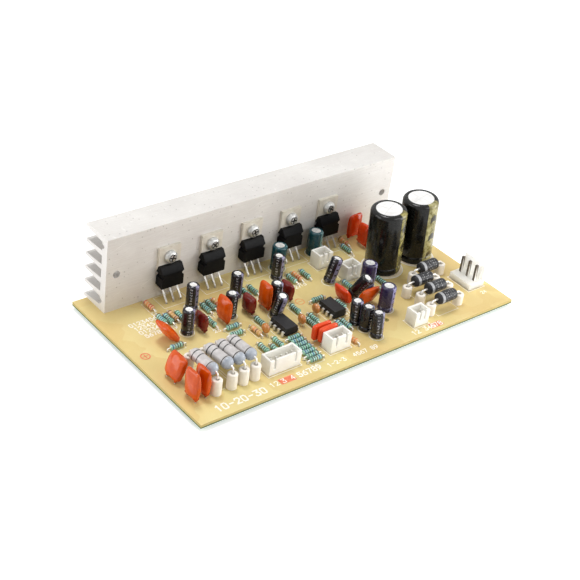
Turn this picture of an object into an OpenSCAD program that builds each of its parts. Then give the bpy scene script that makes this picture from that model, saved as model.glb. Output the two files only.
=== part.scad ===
// Audio amplifier board: five power chips bolted to one finned heatsink, in millimetres.
// x runs along the connector edge, y towards the heatsink, z up from the lowest lead tip.

/* [Board] */
// Length of the board along the connector edge
board_w = 160; // [158:1:200]
// Depth of the board from the connector edge to the heatsink edge
board_d = 86; // [86:1:120]
// Thickness of the board
board_t = 1.6; // [1:0.1:2.4]
// How far the trimmed leads stand out under the board
lead_stub = 1.4; // [1.2:0.1:2.5]
// Height of the solder cone round a lead
solder_h = 0.9; // [0.6:0.1:1.1]
// Width of the solder ring round a lead at the board
solder_ring = 0.55; // [0.4:0.05:0.7]
// Gap round a lead in its drilled hole
hole_gap = 0.12; // [0.05:0.01:0.25]

/* [Heatsink] */
// Length of the heatsink
sink_len = 147; // [140:1:154]
// Height of the heatsink
sink_h = 33; // [30:1:45]
// Depth of the heatsink from its flat face to the fin tips
sink_depth = 14.7; // [12:0.1:18]
// How far the fin tips stand out past the board's back edge
sink_overhang = 2.2; // [0:0.1:4]
// Thickness of the heatsink's flat plate
sink_plate = 3.4; // [2.5:0.1:4]
// Number of fins
fin_count = 6; // [4:1:7]
// Thickness of a fin at the plate
fin_root = 2.3; // [1.8:0.1:3.2]
// Thickness of a fin at its tip
fin_tip = 1.2; // [0.8:0.1:1.8]
// Diameter of the fixing hole at each end
fix_hole_dia = 3.2; // [2.5:0.1:3.4]
// Distance of a fixing hole from the heatsink's end
fix_hole_inset = 4.75; // [4:0.25:10]
// Diameter of the screw channels along the plate
channel_dia = 2; // [1.4:0.1:2.4]

/* [Power chips] */
// Width of a chip
chip_w = 10.2; // [9:0.1:11]
// Height of a chip's moulded body
chip_body_h = 9.2; // [8.4:0.1:10]
// Depth of a chip's moulded body from the heatsink
chip_body_d = 4.5; // [4:0.1:5]
// Height of the moulded body above the board
chip_lift = 6; // [5:0.1:8]
// Height of the metal tab above the moulded body
tab_h = 7.8; // [6:0.1:9]
// Thickness of the metal tab
tab_t = 1.3; // [1:0.1:1.6]
// Spacing of a chip's leads
chip_lead_pitch = 1.7; // [1.5:0.05:1.8]
// Distance of the rear lead row from the heatsink
rear_row = 2.4; // [2:0.1:2.8]
// Distance of the front lead row from the heatsink
front_row = 5.9; // [5:0.1:7]

/* [Tab screws] */
// Diameter of the screw shank
screw_dia = 2.9; // [2.4:0.1:3.2]
// Length of the screw under its head
screw_len = 6; // [4:0.5:8]
// Diameter of the screw head
screw_head_dia = 5.6; // [5:0.1:6]
// Height of the screw head
screw_head_h = 2.1; // [1.6:0.1:2.6]
// Gap between a screw and its hole
screw_gap = 0.15; // [0.05:0.05:0.3]

/* [Electrolytic capacitors] */
// Diameter of the filter capacitors
filter_dia = 15.5; // [12:0.5:17]
// Height of the filter capacitors
filter_h = 29; // [20:1:35]
// Lead spacing of the filter capacitors
filter_pitch = 7.5; // [5:0.5:7.5]
// Diameter of the signal capacitors
signal_dia = 5; // [4:0.1:5.2]
// Height of the signal capacitors
signal_h = 11; // [7:0.5:12]
// Lead spacing of the signal capacitors
signal_pitch = 2; // [1.5:0.1:2.5]
// Diameter of the coupling capacitors
coupling_dia = 6.3; // [5:0.1:6.5]
// Height of the coupling capacitors
coupling_h = 11.5; // [7:0.5:13]
// Lead spacing of the coupling capacitors
coupling_pitch = 2.5; // [2:0.1:2.8]
// Width of the rolled rim round the bare top
can_rim = 1; // [0.4:0.1:1.2]
// Depth of the groove above the base
can_groove = 0.3; // [0.1:0.05:0.5]

/* [Film and disc capacitors] */
// Height of bare lead between a film capacitor and the board
film_lift = 0.8; // [0.3:0.1:1.5]
// Lead spacing of the dipped film capacitors
film_pitch = 5; // [4:0.5:5]
// Length of the slim twin film capacitors
slim_len = 9; // [8:0.5:9.5]
// Height of the slim twin film capacitors
slim_h = 7.2; // [6:0.1:9]
// Thickness of the slim twin film capacitors
slim_t = 2.1; // [1.6:0.1:2.2]
// Diameter of the ceramic discs
disc_dia = 4.2; // [3.5:0.1:5.2]
// Thickness of the ceramic discs
disc_t = 2.2; // [1.6:0.1:2.6]
// Lead spacing of the ceramic discs
disc_pitch = 2.5; // [2:0.1:3]

/* [Power resistors and rectifiers] */
// Diameter of a power resistor
power_dia = 5; // [4:0.1:5.2]
// Length of a power resistor
power_len = 14.2; // [12:0.2:15]
// Diameter of a rectifier
diode_dia = 5; // [4:0.1:5.4]
// Length of a rectifier
diode_len = 9.5; // [8:0.5:10]
// Distance between the two leads of a rectifier
diode_span = 16; // [15:0.5:16.5]
// Outer diameter of a spacer bead
bead_dia = 4.1; // [3.6:0.1:4.6]
// Bore of a spacer bead
bead_bore = 1.6; // [1.4:0.1:2]
// Height of the beads under a power resistor
bead_h = 6.6; // [5:0.1:9]
// Height of the beads under a rectifier
diode_bead_h = 5; // [4:0.1:8]
// Wire radius of the power leads
power_wire = 0.4; // [0.3:0.05:0.5]
// Bend radius of the power leads
power_bend = 1; // [0.8:0.1:1.2]

/* [Small resistors] */
// Diameter of a small resistor's end
resistor_dia = 2.2; // [1.8:0.1:2.3]
// Length of a small resistor's body
resistor_len = 6; // [5:0.1:6.5]
// Distance between the two leads of a small resistor
resistor_span = 8.4; // [8.2:0.1:8.6]
// Wire radius of the small leads
wire = 0.28; // [0.2:0.02:0.32]
// Bend radius of the small leads
wire_bend = 0.6; // [0.5:0.05:0.7]
// Gap between a small resistor and the board
resistor_lift = 0.15; // [0.05:0.05:0.5]

/* [Preamplifier chips] */
// Length of a preamplifier chip
dip_len = 9.5; // [9:0.1:10]
// Width of a preamplifier chip's body
dip_w = 6.3; // [5.8:0.1:6.5]
// Height of a preamplifier chip's body
dip_h = 3.3; // [2.8:0.1:3.6]
// Distance between the two pin rows
dip_rows = 7.62; // [7.4:0.02:7.8]
// Spacing of the pins in a row
dip_pitch = 2.54; // [2.4:0.02:2.6]

/* [Connectors] */
// Pin spacing of the signal connectors
plug_pitch = 2.5; // [2.3:0.1:2.6]
// Depth of the signal connectors
plug_d = 5.75; // [5.3:0.05:5.9]
// Height of the signal connectors
plug_h = 6.8; // [5.5:0.1:8]
// Wall thickness of the signal connectors
plug_wall = 0.8; // [0.6:0.05:1]
// Floor thickness of the signal connectors
plug_floor = 1.4; // [1:0.1:2]
// Width of a signal pin
plug_pin = 0.64; // [0.5:0.02:0.8]
// Pin spacing of the supply connector
supply_pitch = 3.96; // [3.8:0.02:4.1]
// Depth of the supply connector
supply_d = 8.5; // [7.5:0.1:9]
// Height of the supply connector's base
supply_base = 3; // [2.5:0.1:4]
// Height of the supply connector's locking wall
supply_wall_h = 10.5; // [8:0.5:12]
// Thickness of the supply connector's locking wall
supply_wall_t = 1.2; // [1:0.1:1.6]
// Width of a supply pin
supply_pin = 1.1; // [0.9:0.05:1.2]

/* [Hidden] */
// Round resolution of the curves
$fn = 32;
// How far a cut runs past the face it opens
cut = 1;
// How far fused pieces reach into one another
join = 0.2;
sink_y = board_d + sink_overhang - sink_depth;
sink_x = (board_w - sink_len) / 2;
fin_step = (sink_h - fin_root) / (fin_count - 1);
fix_hole_z = fin_root / 2 + (floor((fin_count - 2) / 2) + 0.5) * fin_step;
// Places below are those on a board of 160 mm with 73.5 mm in front of the heatsink, and spread with it.
across = board_w / 160;
along = sink_y / 73.5;
chip_first = 34.9 * across;
chip_pitch = 20.3 * across;
chip_count = 5;
chip_lead_w = 0.7;
chip_lead_t = 0.5;
tab_hole_rise = 3.3;
tab_hole_z = chip_lift + chip_body_h + tab_hole_rise;
power_span = power_len + 2 * (power_bend + join);
power_z = bead_h + power_dia / 2;
diode_z = diode_bead_h + power_bend + join;
resistor_z = resistor_dia / 2 + resistor_lift;
plug_margin = 5;
supply_margin = 4;

// A list of places, each x and y first, spread over the board.
function spread(places) = [
    for (p = places) [p[0] * across, p[1] * along, for (i = [2 : 1 : len(p) - 1]) p[i]]
];

// Places from the board's front left corner: x, y, lean, heading of the lean.
filter_places = spread([
    [127.3, 45.8, 4, 180],
    [146, 46.2, 4, 180]
]);
signal_places = spread([
    [27.4, 47.6, 0, 0],
    [38.5, 60.5, 0, 0],
    [48.6, 48.5, 0, 0],
    [58.8, 58.7, 0, 0],
    [99.3, 48, 14, -10],
    [101.2, 35.2, 28, -58],
    [89.7, 20.2, 4, 180],
    [90.4, 15.1, 0, 0],
    [91.2, 9.2, 4, 100],
    [64.4, 39.7, 14, -85],
    [68.7, 45.6, 0, 0],
    [81.8, 61, 0, 0]
]);
coupling_places = spread([
    [111.6, 38.2, 0, 0],
    [107.1, 21.6, 0, 0],
    [86.5, 66.5, 0, 0],
    [107.7, 68.4, 0, 0]
]);
// Dipped film capacitors: x, y, width, height, thickness, turn of the width, lean.
film_places = spread([
    [5.4, 26.6, 9.2, 10, 4.6, 90, 20],
    [5.6, 13.8, 8.2, 12, 3.5, 90, 0],
    [10.4, 14.2, 8.1, 11.5, 3.5, 90, 0],
    [21.6, 47, 8.6, 10.4, 4.2, 90, -40],
    [32.8, 46.2, 7.4, 7.4, 3.3, 90, 0],
    [43.9, 46.6, 8, 10.8, 3.9, 90, 0],
    [56.3, 46.9, 6.8, 7.4, 5, 90, 0],
    [63.8, 46.2, 7, 11.4, 4, 90, 0],
    [75.5, 46.8, 7.2, 7.4, 4.2, 90, 0],
    [96.2, 34.4, 9, 7, 3.8, 90, -20],
    [102.4, 29.2, 9.2, 8.4, 4, 0, 20],
    [131.8, 70.2, 7.2, 11.2, 3.6, 0, 0],
    [131, 62.8, 6.6, 10.2, 4.2, 90, 0]
]);
slim_places = spread([[69.8, 18.6], [71, 16.1]]);
disc_places = spread([[53.2, 31.9, 90], [69.6, 29.8, 90], [79.2, 32.6, 90]]);
// Power resistors: x, y of the middle, turn.
power_places = spread([[14.7, 20.2, 92], [21.4, 20.2, 94], [26.7, 20.2, 94], [32, 20.2, 94]]);
// Rectifiers: x, y of the middle.
diode_places = spread([[138.2, 30.3], [129.1, 24.1], [130.2, 17.3], [129, 9.8]]);
dip_places = spread([[61.6, 30.9], [86, 30.5]]);
// Signal connectors: x, y of the middle, number of pins.
plug_places = spread([
    [45.4, 12.75, 5],
    [72.3, 11.9, 3],
    [112.2, 8.4, 2],
    [104.8, 60, 2],
    [109.5, 47.1, 2]
]);
supply_place = spread([[152.2, 19.7]])[0];
supply_pins = 3;
// Small resistors: x, y of the middle, turn.
stack_rows = 7;
metal_places = spread(concat(
    [for (i = [0 : stack_rows - 1]) [59.7 + 0.2 * i, 8.8 + 2.45 * i, 0]],
    [for (p = [
        [22.9, 58.4], [25.4, 57.3], [30.5, 56.6], [42.4, 56.2], [45.3, 57], [38.7, 47.6], [62.8, 57],
        [66.6, 57.4], [55.7, 38.6], [85.9, 56.2], [93, 56.1], [73.4, 38.4], [75.9, 29.8],
        [73.1, 28.2], [46.2, 24], [49.8, 21.1], [53.4, 24.2], [82.3, 20.6], [85, 20.6], [92, 32],
        [103.8, 41.4], [121.8, 63.2], [118.4, 37], [113.4, 30.2]
    ]) [p[0], p[1], 90]],
    [for (p = [[18.2, 41.2], [44.2, 41], [42.9, 36.6], [86, 39.4]]) [p[0], p[1], 0]]
));
carbon_places = spread([
    for (p = [
        [23.8, 68.2], [28, 58], [48, 56.8], [50.6, 34.4], [88.9, 56.4], [80.6, 11.6], [124.6, 68]
    ]) [p[0], p[1], 90]
]);
// One drilled pad that holds nothing.
spare_hole = spread([[102.3, 15.5]])[0];

// The two lead places of a piece: middle, direction and distance between the leads.
function pair(x, y, turn, span) =
    [for (s = [-1, 1]) [x + s * span / 2 * cos(turn), y + s * span / 2 * sin(turn)]];
// The lead places of a row of pins.
function row(x, y, turn, count, pitch) =
    [for (i = [0 : count - 1])
        [x + (i - (count - 1) / 2) * pitch * cos(turn), y + (i - (count - 1) / 2) * pitch * sin(turn)]];
function chip_x(i) = chip_first + i * chip_pitch;
function front_leads(i) = row(chip_x(i), sink_y - front_row, 0, 3, 2 * chip_lead_pitch);
function rear_leads(i) = row(chip_x(i), sink_y - rear_row, 0, 2, 2 * chip_lead_pitch);
function dip_leads(p) = concat(
    row(p[0] - dip_rows / 2, p[1], 90, 4, dip_pitch),
    row(p[0] + dip_rows / 2, p[1], 90, 4, dip_pitch)
);
function drilled(places, radius) = [for (p = places) [p[0], p[1], radius]];

can_holes = concat(
    [for (c = filter_places) each drilled(pair(c[0], c[1], c[3] + 90, filter_pitch), power_wire)],
    [for (c = signal_places) each drilled(pair(c[0], c[1], c[3] + 90, signal_pitch), wire)],
    [for (c = coupling_places) each drilled(pair(c[0], c[1], c[3] + 90, coupling_pitch), wire)]
);
film_holes = concat(
    [for (c = film_places) each drilled(pair(c[0], c[1], c[5], film_pitch), wire)],
    [for (c = slim_places) each drilled(pair(c[0], c[1], 0, film_pitch), wire)],
    [for (c = disc_places) each drilled(pair(c[0], c[1], c[2], disc_pitch), wire)]
);
resistor_holes = concat(
    [for (c = power_places) each drilled(pair(c[0], c[1], c[2], power_span), power_wire)],
    [for (c = diode_places) each drilled(pair(c[0], c[1], 0, diode_span), power_wire)],
    [for (c = concat(metal_places, carbon_places)) each drilled(pair(c[0], c[1], c[2], resistor_span), wire)]
);
chip_hole = norm([chip_lead_w, chip_lead_t]) / 2;
dip_pin_w = 0.5;
dip_pin_t = 0.25;
chip_holes = concat(
    [for (i = [0 : chip_count - 1]) each drilled(concat(front_leads(i), rear_leads(i)), chip_hole)],
    [for (p = dip_places) each drilled(dip_leads(p), norm([dip_pin_w, dip_pin_t]) / 2)]
);
plug_holes = concat(
    [for (p = plug_places) each drilled(row(p[0], p[1], 0, p[2], plug_pitch), plug_pin * sqrt(2) / 2)],
    drilled(row(supply_place[0], supply_place[1], 90, supply_pins, supply_pitch), supply_pin * sqrt(2) / 2),
    drilled([spare_hole], power_wire)
);
board_holes = concat(can_holes, film_holes, resistor_holes, chip_holes, plug_holes);

plug_names = ["speaker_connector", "audio_connector", "fan_connector", "aux_connector_1", "aux_connector_2"];

// Moves from the board's front left top corner to the part's own frame.
module on_board() {
    translate([-board_w / 2, -(board_d + sink_overhang) / 2, board_t + lead_stub]) children();
}

// A round lead through the board with its solder cone; it ends at height top over the board.
module leg(place, top, radius) {
    translate([place[0], place[1], -board_t - lead_stub])
        cylinder(r = radius, h = board_t + lead_stub + top);
    solder(place, radius);
}

module solder(place, radius) {
    translate([place[0], place[1], -board_t - solder_h])
        cylinder(r1 = radius + 0.1, r2 = radius + solder_ring, h = solder_h);
}

// A square or flat pin through the board with its solder cone.
module pin(place, width, thick, top) {
    translate([place[0] - width / 2, place[1] - thick / 2, -board_t - lead_stub])
        cube([width, thick, board_t + lead_stub + top]);
    solder(place, norm([width, thick]) / 2);
}

module circuit_board() {
    color("#e0cd88") on_board() difference() {
        translate([0, 0, -board_t]) cube([board_w, board_d, board_t]);
        for (h = board_holes)
            translate([h[0], h[1], -board_t - cut])
                cylinder(r = h[2] + hole_gap, h = board_t + 2 * cut, $fn = 24);
    }
}

// One fin from the plate to the tip; the outer face of an end fin stays flat.
module fin(i) {
    middle = fin_root / 2 + i * fin_step;
    drop = (fin_root - fin_tip) / 2;
    low_drop = i == 0 ? 0 : i == fin_count - 1 ? 2 * drop : drop;
    high_drop = 2 * drop - low_drop;
    polygon([
        [sink_plate - join, middle - fin_root / 2],
        [sink_plate, middle - fin_root / 2],
        [sink_depth, middle - fin_root / 2 + low_drop],
        [sink_depth, middle + fin_root / 2 - high_drop],
        [sink_plate, middle + fin_root / 2],
        [sink_plate - join, middle + fin_root / 2]
    ]);
}

// The plate and fins as one extrusion, with fixing holes, screw holes and two screw channels.
module heatsink() {
    channel_rise = 0.3;
    color("#cbc7c2") on_board() difference() {
        translate([sink_x, sink_y, 0]) rotate([90, 0, 90]) linear_extrude(sink_len) {
            square([sink_plate, sink_h]);
            for (i = [0 : fin_count - 1]) fin(i);
        }
        for (x = [sink_x + fix_hole_inset, sink_x + sink_len - fix_hole_inset])
            translate([x, sink_y - cut, fix_hole_z]) rotate([-90, 0, 0])
                cylinder(d = fix_hole_dia, h = sink_depth + 2 * cut);
        for (i = [0 : chip_count - 1])
            translate([chip_x(i), sink_y - cut, tab_hole_z]) rotate([-90, 0, 0])
                cylinder(d = screw_dia + 2 * screw_gap, h = screw_len + cut);
        for (gap = [0.5, fin_count - 1.5])
            translate([sink_x - cut, sink_y + sink_plate - channel_rise, fin_root / 2 + gap * fin_step])
                rotate([0, 90, 0]) cylinder(d = channel_dia, h = sink_len + 2 * cut);
    }
}

// A flat lead that runs down to its pad: straight in the rear row, stepped forward in the front row.
module chip_lead(place, step) {
    foot = 0.8;
    top = chip_lift + 1;
    knee = chip_lift - 1.2;
    half = chip_lead_t / 2;
    tip = -board_t - lead_stub;
    translate([place[0] - chip_lead_w / 2, place[1], 0]) rotate([90, 0, 90]) linear_extrude(chip_lead_w)
        polygon([
            [step - half, top],
            [step - half, knee],
            [-half, foot],
            [-half, tip],
            [half, tip],
            [half, foot],
            [step + half, knee],
            [step + half, top]
        ]);
    solder(place, chip_hole);
}

// A moulded body with a sloped top edge on its metal tab, over two staggered rows of leads.
module power_chip(i) {
    x = chip_x(i - 1);
    notch_r = 0.9;
    notch_z = chip_lift + 0.58 * chip_body_h;
    bevel = 1.8;
    tab_foot = 0.3;
    color("#1d1d1f") on_board() difference() {
        union() {
            translate([x - chip_w / 2, sink_y, chip_lift]) rotate([90, 0, 90]) linear_extrude(chip_w)
                polygon([
                    [-tab_t + 2 * join, 0],
                    [-tab_t + 2 * join, chip_body_h],
                    [-chip_body_d + bevel, chip_body_h],
                    [-chip_body_d, chip_body_h - 1.4 * bevel],
                    [-chip_body_d, 0]
                ]);
            translate([x - chip_w / 2, sink_y - tab_t, chip_lift + tab_foot])
                cube([chip_w, tab_t, chip_body_h + tab_h - tab_foot]);
            for (p = front_leads(i - 1)) chip_lead(p, front_row - rear_row);
            for (p = rear_leads(i - 1)) chip_lead(p, 0);
        }
        translate([x, sink_y - tab_t - cut, tab_hole_z]) rotate([-90, 0, 0])
            cylinder(d = screw_dia + 2 * screw_gap, h = tab_t + 2 * cut);
        for (s = [-1, 1])
            translate([x + s * chip_w / 2, sink_y - chip_body_d - cut, notch_z])
                rotate([-90, 0, 0]) cylinder(r = notch_r, h = chip_body_d + 2 * cut);
    }
}

// Pan head with a cross recess, its seat at the origin and its shank along y.
module tab_screw() {
    recess = 0.7;
    rotate([-90, 0, 0]) difference() {
        union() {
            rotate_extrude() polygon([
                [0, -screw_head_h],
                [screw_head_dia * 0.24, -screw_head_h],
                [screw_head_dia * 0.4, -screw_head_h * 0.82],
                [screw_head_dia / 2, -screw_head_h * 0.45],
                [screw_head_dia / 2, 0],
                [0, 0]
            ]);
            translate([0, 0, -join]) cylinder(d = screw_dia, h = screw_len - join);
        }
        for (a = [0, 90])
            rotate([0, 0, a]) translate([-screw_head_dia * 0.28, -recess / 2, -screw_head_h - cut])
                cube([screw_head_dia * 0.56, recess, cut + screw_head_h * 0.55]);
    }
}

module tab_screws() {
    color("#d4d4d2") on_board() for (i = [0 : chip_count - 1])
        translate([chip_x(i), sink_y - tab_t, tab_hole_z]) rotate([0, 20 + 25 * i, 0]) tab_screw();
}

// A sleeved can with a groove over its base and a bare top inside a rolled rim.
module can(dia, height) {
    r = dia / 2;
    rim = can_rim * sqrt(dia / signal_dia);
    groove_z = 1 + dia * 0.1;
    top_dip = 0.2;
    rotate_extrude($fn = 64) polygon([
        [0, 0],
        [r - can_groove, 0],
        [r, can_groove],
        [r, groove_z],
        [r - can_groove, groove_z + can_groove],
        [r, groove_z + 2 * can_groove],
        [r, height - rim * 0.8],
        [r - rim * 0.25, height - rim * 0.25],
        [r - rim * 0.7, height],
        [r - rim, height],
        [r - rim, height - top_dip],
        [0, height - top_dip]
    ]);
}

// A can on its two leads; a leaning one stands on the edge of its base.
module standing_can(place, dia, height, pitch, radius) {
    lift = dia / 2 * sin(place[2]);
    translate([place[0], place[1], lift]) rotate([0, 0, place[3]]) rotate([0, place[2], 0]) can(dia, height);
    for (p = pair(place[0], place[1], place[3] + 90, pitch)) leg(p, lift + 1, radius);
}

module filter_capacitor(i) {
    color("#1b1a1a") on_board()
        standing_can(filter_places[i - 1], filter_dia, filter_h, filter_pitch, power_wire);
}

module signal_capacitor(i) {
    color("#232228") on_board()
        standing_can(signal_places[i - 1], signal_dia, signal_h, signal_pitch, wire);
}

module coupling_capacitor(i) {
    color(i < 3 ? "#3c3470" : "#14585a") on_board()
        standing_can(coupling_places[i - 1], coupling_dia, coupling_h, coupling_pitch, wire);
}

// A dipped body with rounded edges, flatter broad faces and a flat foot round each lead.
module dipped_body(width, height, thick) {
    edge = thick * 0.34;
    hull() {
        for (x = [-1, 1], z = [edge, height - edge])
            translate([x * (width / 2 - edge), 0, z]) sphere(r = edge, $fn = 20);
        translate([0, 0, height * 0.48]) cube([width * 0.56, thick, height * 0.5], center = true);
        for (x = [-1, 1]) translate([x * film_pitch / 2, 0, 0]) cylinder(r = 2 * wire, h = edge, $fn = 12);
    }
}

// A lead that leaves its hole upright and then follows the lean of the body.
module leaning_leg(place, turn, lean, length) {
    upright = 0.3;
    leg(place, lean == 0 ? length : upright, wire);
    if (lean != 0)
        translate([place[0], place[1], upright / 3]) rotate([0, 0, turn]) rotate([lean, 0, 0])
            cylinder(r = wire * 0.95, h = length);
}

module film_capacitor(i) {
    p = film_places[i - 1];
    turn = p[5];
    lean = p[6];
    low_red_h = 7.5;
    reach = 1.4;
    color(p[3] < low_red_h ? "#8c2a20" : "#e4601f") on_board() {
        translate([p[0], p[1], 0]) rotate([0, 0, turn]) rotate([lean, 0, 0]) translate([0, 0, film_lift])
            dipped_body(p[2], p[3], p[4]);
        for (q = pair(p[0], p[1], turn, film_pitch)) leaning_leg(q, turn, lean, film_lift + reach);
    }
}

// A flat slim body with rounded upright edges and a rounded top.
module slim_body() {
    r = slim_t / 2;
    translate([-slim_len / 2 + r, 0, 0]) cylinder(r = r, h = slim_h - r);
    translate([slim_len / 2 - r, 0, 0]) cylinder(r = r, h = slim_h - r);
    translate([-slim_len / 2 + r, -r, 0]) cube([slim_len - 2 * r, slim_t, slim_h - r]);
    translate([-slim_len / 2 + r, 0, slim_h - r]) rotate([0, 90, 0]) cylinder(r = r, h = slim_len - 2 * r);
    for (s = [-1, 1]) translate([s * (slim_len / 2 - r), 0, slim_h - r]) sphere(r = r);
}

module slim_capacitors() {
    color("#e8552c") on_board() for (p = slim_places) {
        translate([p[0], p[1], film_lift]) slim_body();
        for (q = pair(p[0], p[1], 0, film_pitch)) leg(q, film_lift + 1, wire);
    }
}

module ceramic_discs() {
    r = disc_dia / 2;
    color("#b8702c") on_board() for (p = disc_places) {
        translate([p[0], p[1], film_lift + r]) rotate([0, 0, p[2]]) rotate([90, 0, 0]) rotate_extrude()
            polygon([
                [0, -disc_t / 2],
                [r * 0.55, -disc_t * 0.46],
                [r * 0.88, -disc_t * 0.28],
                [r, 0],
                [r * 0.88, disc_t * 0.28],
                [r * 0.55, disc_t * 0.46],
                [0, disc_t / 2]
            ]);
        for (q = pair(p[0], p[1], p[2], disc_pitch)) leg(q, film_lift + r * 0.6, wire);
    }
}

// Leads that leave an axial body, bend down and pass through the board.
module bent_leads(span, axis_z, radius, bend) {
    for (s = [0, 180]) rotate([0, 0, s]) {
        translate([span / 2 - bend, 0, axis_z - bend]) rotate([90, 0, 0])
            rotate_extrude(angle = 90) translate([bend, 0]) circle(r = radius);
        leg([span / 2, 0], axis_z - bend, radius);
    }
}

// A round body and its straight leads as one turned profile along x.
module axial(profile, length, span, radius, bend) {
    wire_end = span / 2 - bend;
    rotate([0, 90, 0]) rotate_extrude() polygon(concat(
        [[0, -wire_end], [radius, -wire_end], [radius, -length / 2]],
        profile,
        [[radius, length / 2], [radius, wire_end], [0, wire_end]]
    ));
}

module power_resistor(i) {
    p = power_places[i - 1];
    r = power_dia / 2;
    half = power_len / 2;
    dome = power_dia * 0.44;
    color("#aeb0b6") on_board() translate([p[0], p[1], 0]) rotate([0, 0, p[2]]) {
        translate([0, 0, power_z]) axial([
            [r * 0.36, -half], [r * 0.72, -half + dome * 0.23], [r * 0.92, -half + dome * 0.55],
            [r, -half + dome], [r, half - dome],
            [r * 0.92, half - dome * 0.55], [r * 0.72, half - dome * 0.23], [r * 0.36, half]
        ], power_len, power_span, power_wire, power_bend);
        bent_leads(power_span, power_z, power_wire, power_bend);
    }
}

module rectifier(i) {
    p = diode_places[i - 1];
    r = diode_dia / 2;
    half = diode_len / 2;
    color("#2b2b2e") on_board() translate([p[0], p[1], 0]) {
        translate([0, 0, diode_z]) axial([
            [r * 0.7, -half], [r * 0.92, -half + 0.4], [r, -half + 1.4], [r, half - 1.4],
            [r * 0.92, half - 0.4], [r * 0.7, half]
        ], diode_len, diode_span, power_wire, power_bend);
        bent_leads(diode_span, diode_z, power_wire, power_bend);
    }
}

module spacer_bead(place, height) {
    edge = 0.3;
    translate([place[0], place[1], 0]) rotate_extrude() polygon([
        [bead_bore / 2, 0],
        [bead_dia / 2, 0],
        [bead_dia / 2, height - edge],
        [bead_dia / 2 - edge, height],
        [bead_bore / 2, height]
    ]);
}

module spacer_beads() {
    color("#efe9dd") on_board() {
        for (c = power_places) for (p = pair(c[0], c[1], c[2], power_span)) spacer_bead(p, bead_h);
        for (c = diode_places) for (p = pair(c[0], c[1], 0, diode_span)) spacer_bead(p, diode_bead_h);
    }
}

// A coated body with swollen ends, lying just above the board.
module small_resistor(place) {
    r = resistor_dia / 2;
    waist = r * 0.86;
    half = resistor_len / 2;
    translate([place[0], place[1], 0]) rotate([0, 0, place[2]]) {
        translate([0, 0, resistor_z]) axial([
            [r * 0.7, -half], [r, -half + 0.5], [r, -half + 1.4], [waist, -half + 1.9],
            [waist, half - 1.9], [r, half - 1.4], [r, half - 0.5], [r * 0.7, half]
        ], resistor_len, resistor_span, wire, wire_bend);
        bent_leads(resistor_span, resistor_z, wire, wire_bend);
    }
}

module metal_film_resistors() {
    color("#8fc4b4") on_board() for (p = metal_places) small_resistor(p);
}

module carbon_resistors() {
    color("#d8ac7c") on_board() for (p = carbon_places) small_resistor(p);
}

// A moulded body over two rows of pins that fold down from its sides.
module preamp_chip(i) {
    base = 0.6;
    draft = 0.35;
    notch_r = 0.8;
    notch_depth = 0.5;
    reach = 0.5;
    shoulder_w = 1.2;
    shoulder_z = base + dip_h / 2;
    color("#27272a") on_board() translate(dip_places[i - 1]) {
        difference() {
            translate([0, dip_len / 2, base]) rotate([90, 0, 0]) linear_extrude(dip_len) polygon([
                [-dip_w / 2 + draft, 0],
                [-dip_w / 2, dip_h / 2],
                [-dip_w / 2 + draft, dip_h],
                [dip_w / 2 - draft, dip_h],
                [dip_w / 2, dip_h / 2],
                [dip_w / 2 - draft, 0]
            ]);
            translate([0, dip_len / 2, base + dip_h - notch_depth])
                cylinder(r = notch_r, h = notch_depth + cut);
        }
        for (side = [0, 180]) rotate([0, 0, side]) for (q = row(dip_rows / 2, 0, 90, 4, dip_pitch)) {
            pin(q, dip_pin_t, dip_pin_w, base + join);
            translate([q[0] - dip_pin_t / 2, q[1] - shoulder_w / 2, base])
                cube([dip_pin_t, shoulder_w, shoulder_z - base]);
            translate([dip_w / 2 - reach, q[1] - shoulder_w / 2, shoulder_z - dip_pin_t])
                cube([(dip_rows - dip_w + dip_pin_t) / 2 + reach, shoulder_w, dip_pin_t]);
        }
    }
}

// An open-topped shroud round a row of pins; the front wall has two keying slots.
module plug(place) {
    count = place[2];
    length = (count - 1) * plug_pitch + plug_margin;
    slot_w = 1;
    slot_x = (length - plug_margin) / 2;
    pin_drop = 1.2;
    translate([place[0], place[1], 0]) {
        difference() {
            translate([-length / 2, -plug_d / 2, 0]) cube([length, plug_d, plug_h]);
            translate([-length / 2 + plug_wall, -plug_d / 2 + plug_wall, plug_floor])
                cube([length - 2 * plug_wall, plug_d - 2 * plug_wall, plug_h]);
            for (s = [-1, 1])
                translate([s * slot_x - slot_w / 2, -plug_d / 2 - cut, plug_h * 0.35])
                    cube([slot_w, plug_wall + 2 * cut, plug_h]);
        }
        for (q = row(0, 0, 0, count, plug_pitch)) pin(q, plug_pin, plug_pin, plug_h - pin_drop);
    }
}

module signal_connector(i) {
    color("#f2f0ec") on_board() plug(plug_places[i - 1]);
}

// A low base with tall pins in front of a locking wall that faces the board's right edge.
module supply_connector() {
    length = (supply_pins - 1) * supply_pitch + supply_margin;
    wall_y = supply_d / 2 - supply_wall_t;
    rib_w = 1.2;
    rib_t = 0.6;
    rib_drop = 1;
    color("#eeeae0") on_board() translate(supply_place) rotate([0, 0, -90]) {
        translate([-length / 2, -supply_d / 2, 0]) cube([length, supply_d, supply_base]);
        translate([-length / 2, wall_y, 0]) cube([length, supply_wall_t, supply_wall_h]);
        for (s = [-1, 1])
            translate([s * (length - supply_margin) / 2 - rib_w / 2, wall_y - rib_t, supply_base - join])
                cube([rib_w, rib_t + join, supply_wall_h - supply_base - rib_drop]);
        for (q = row(0, 0, 0, supply_pins, supply_pitch)) pin(q, supply_pin, supply_pin, supply_wall_h);
    }
}

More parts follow.
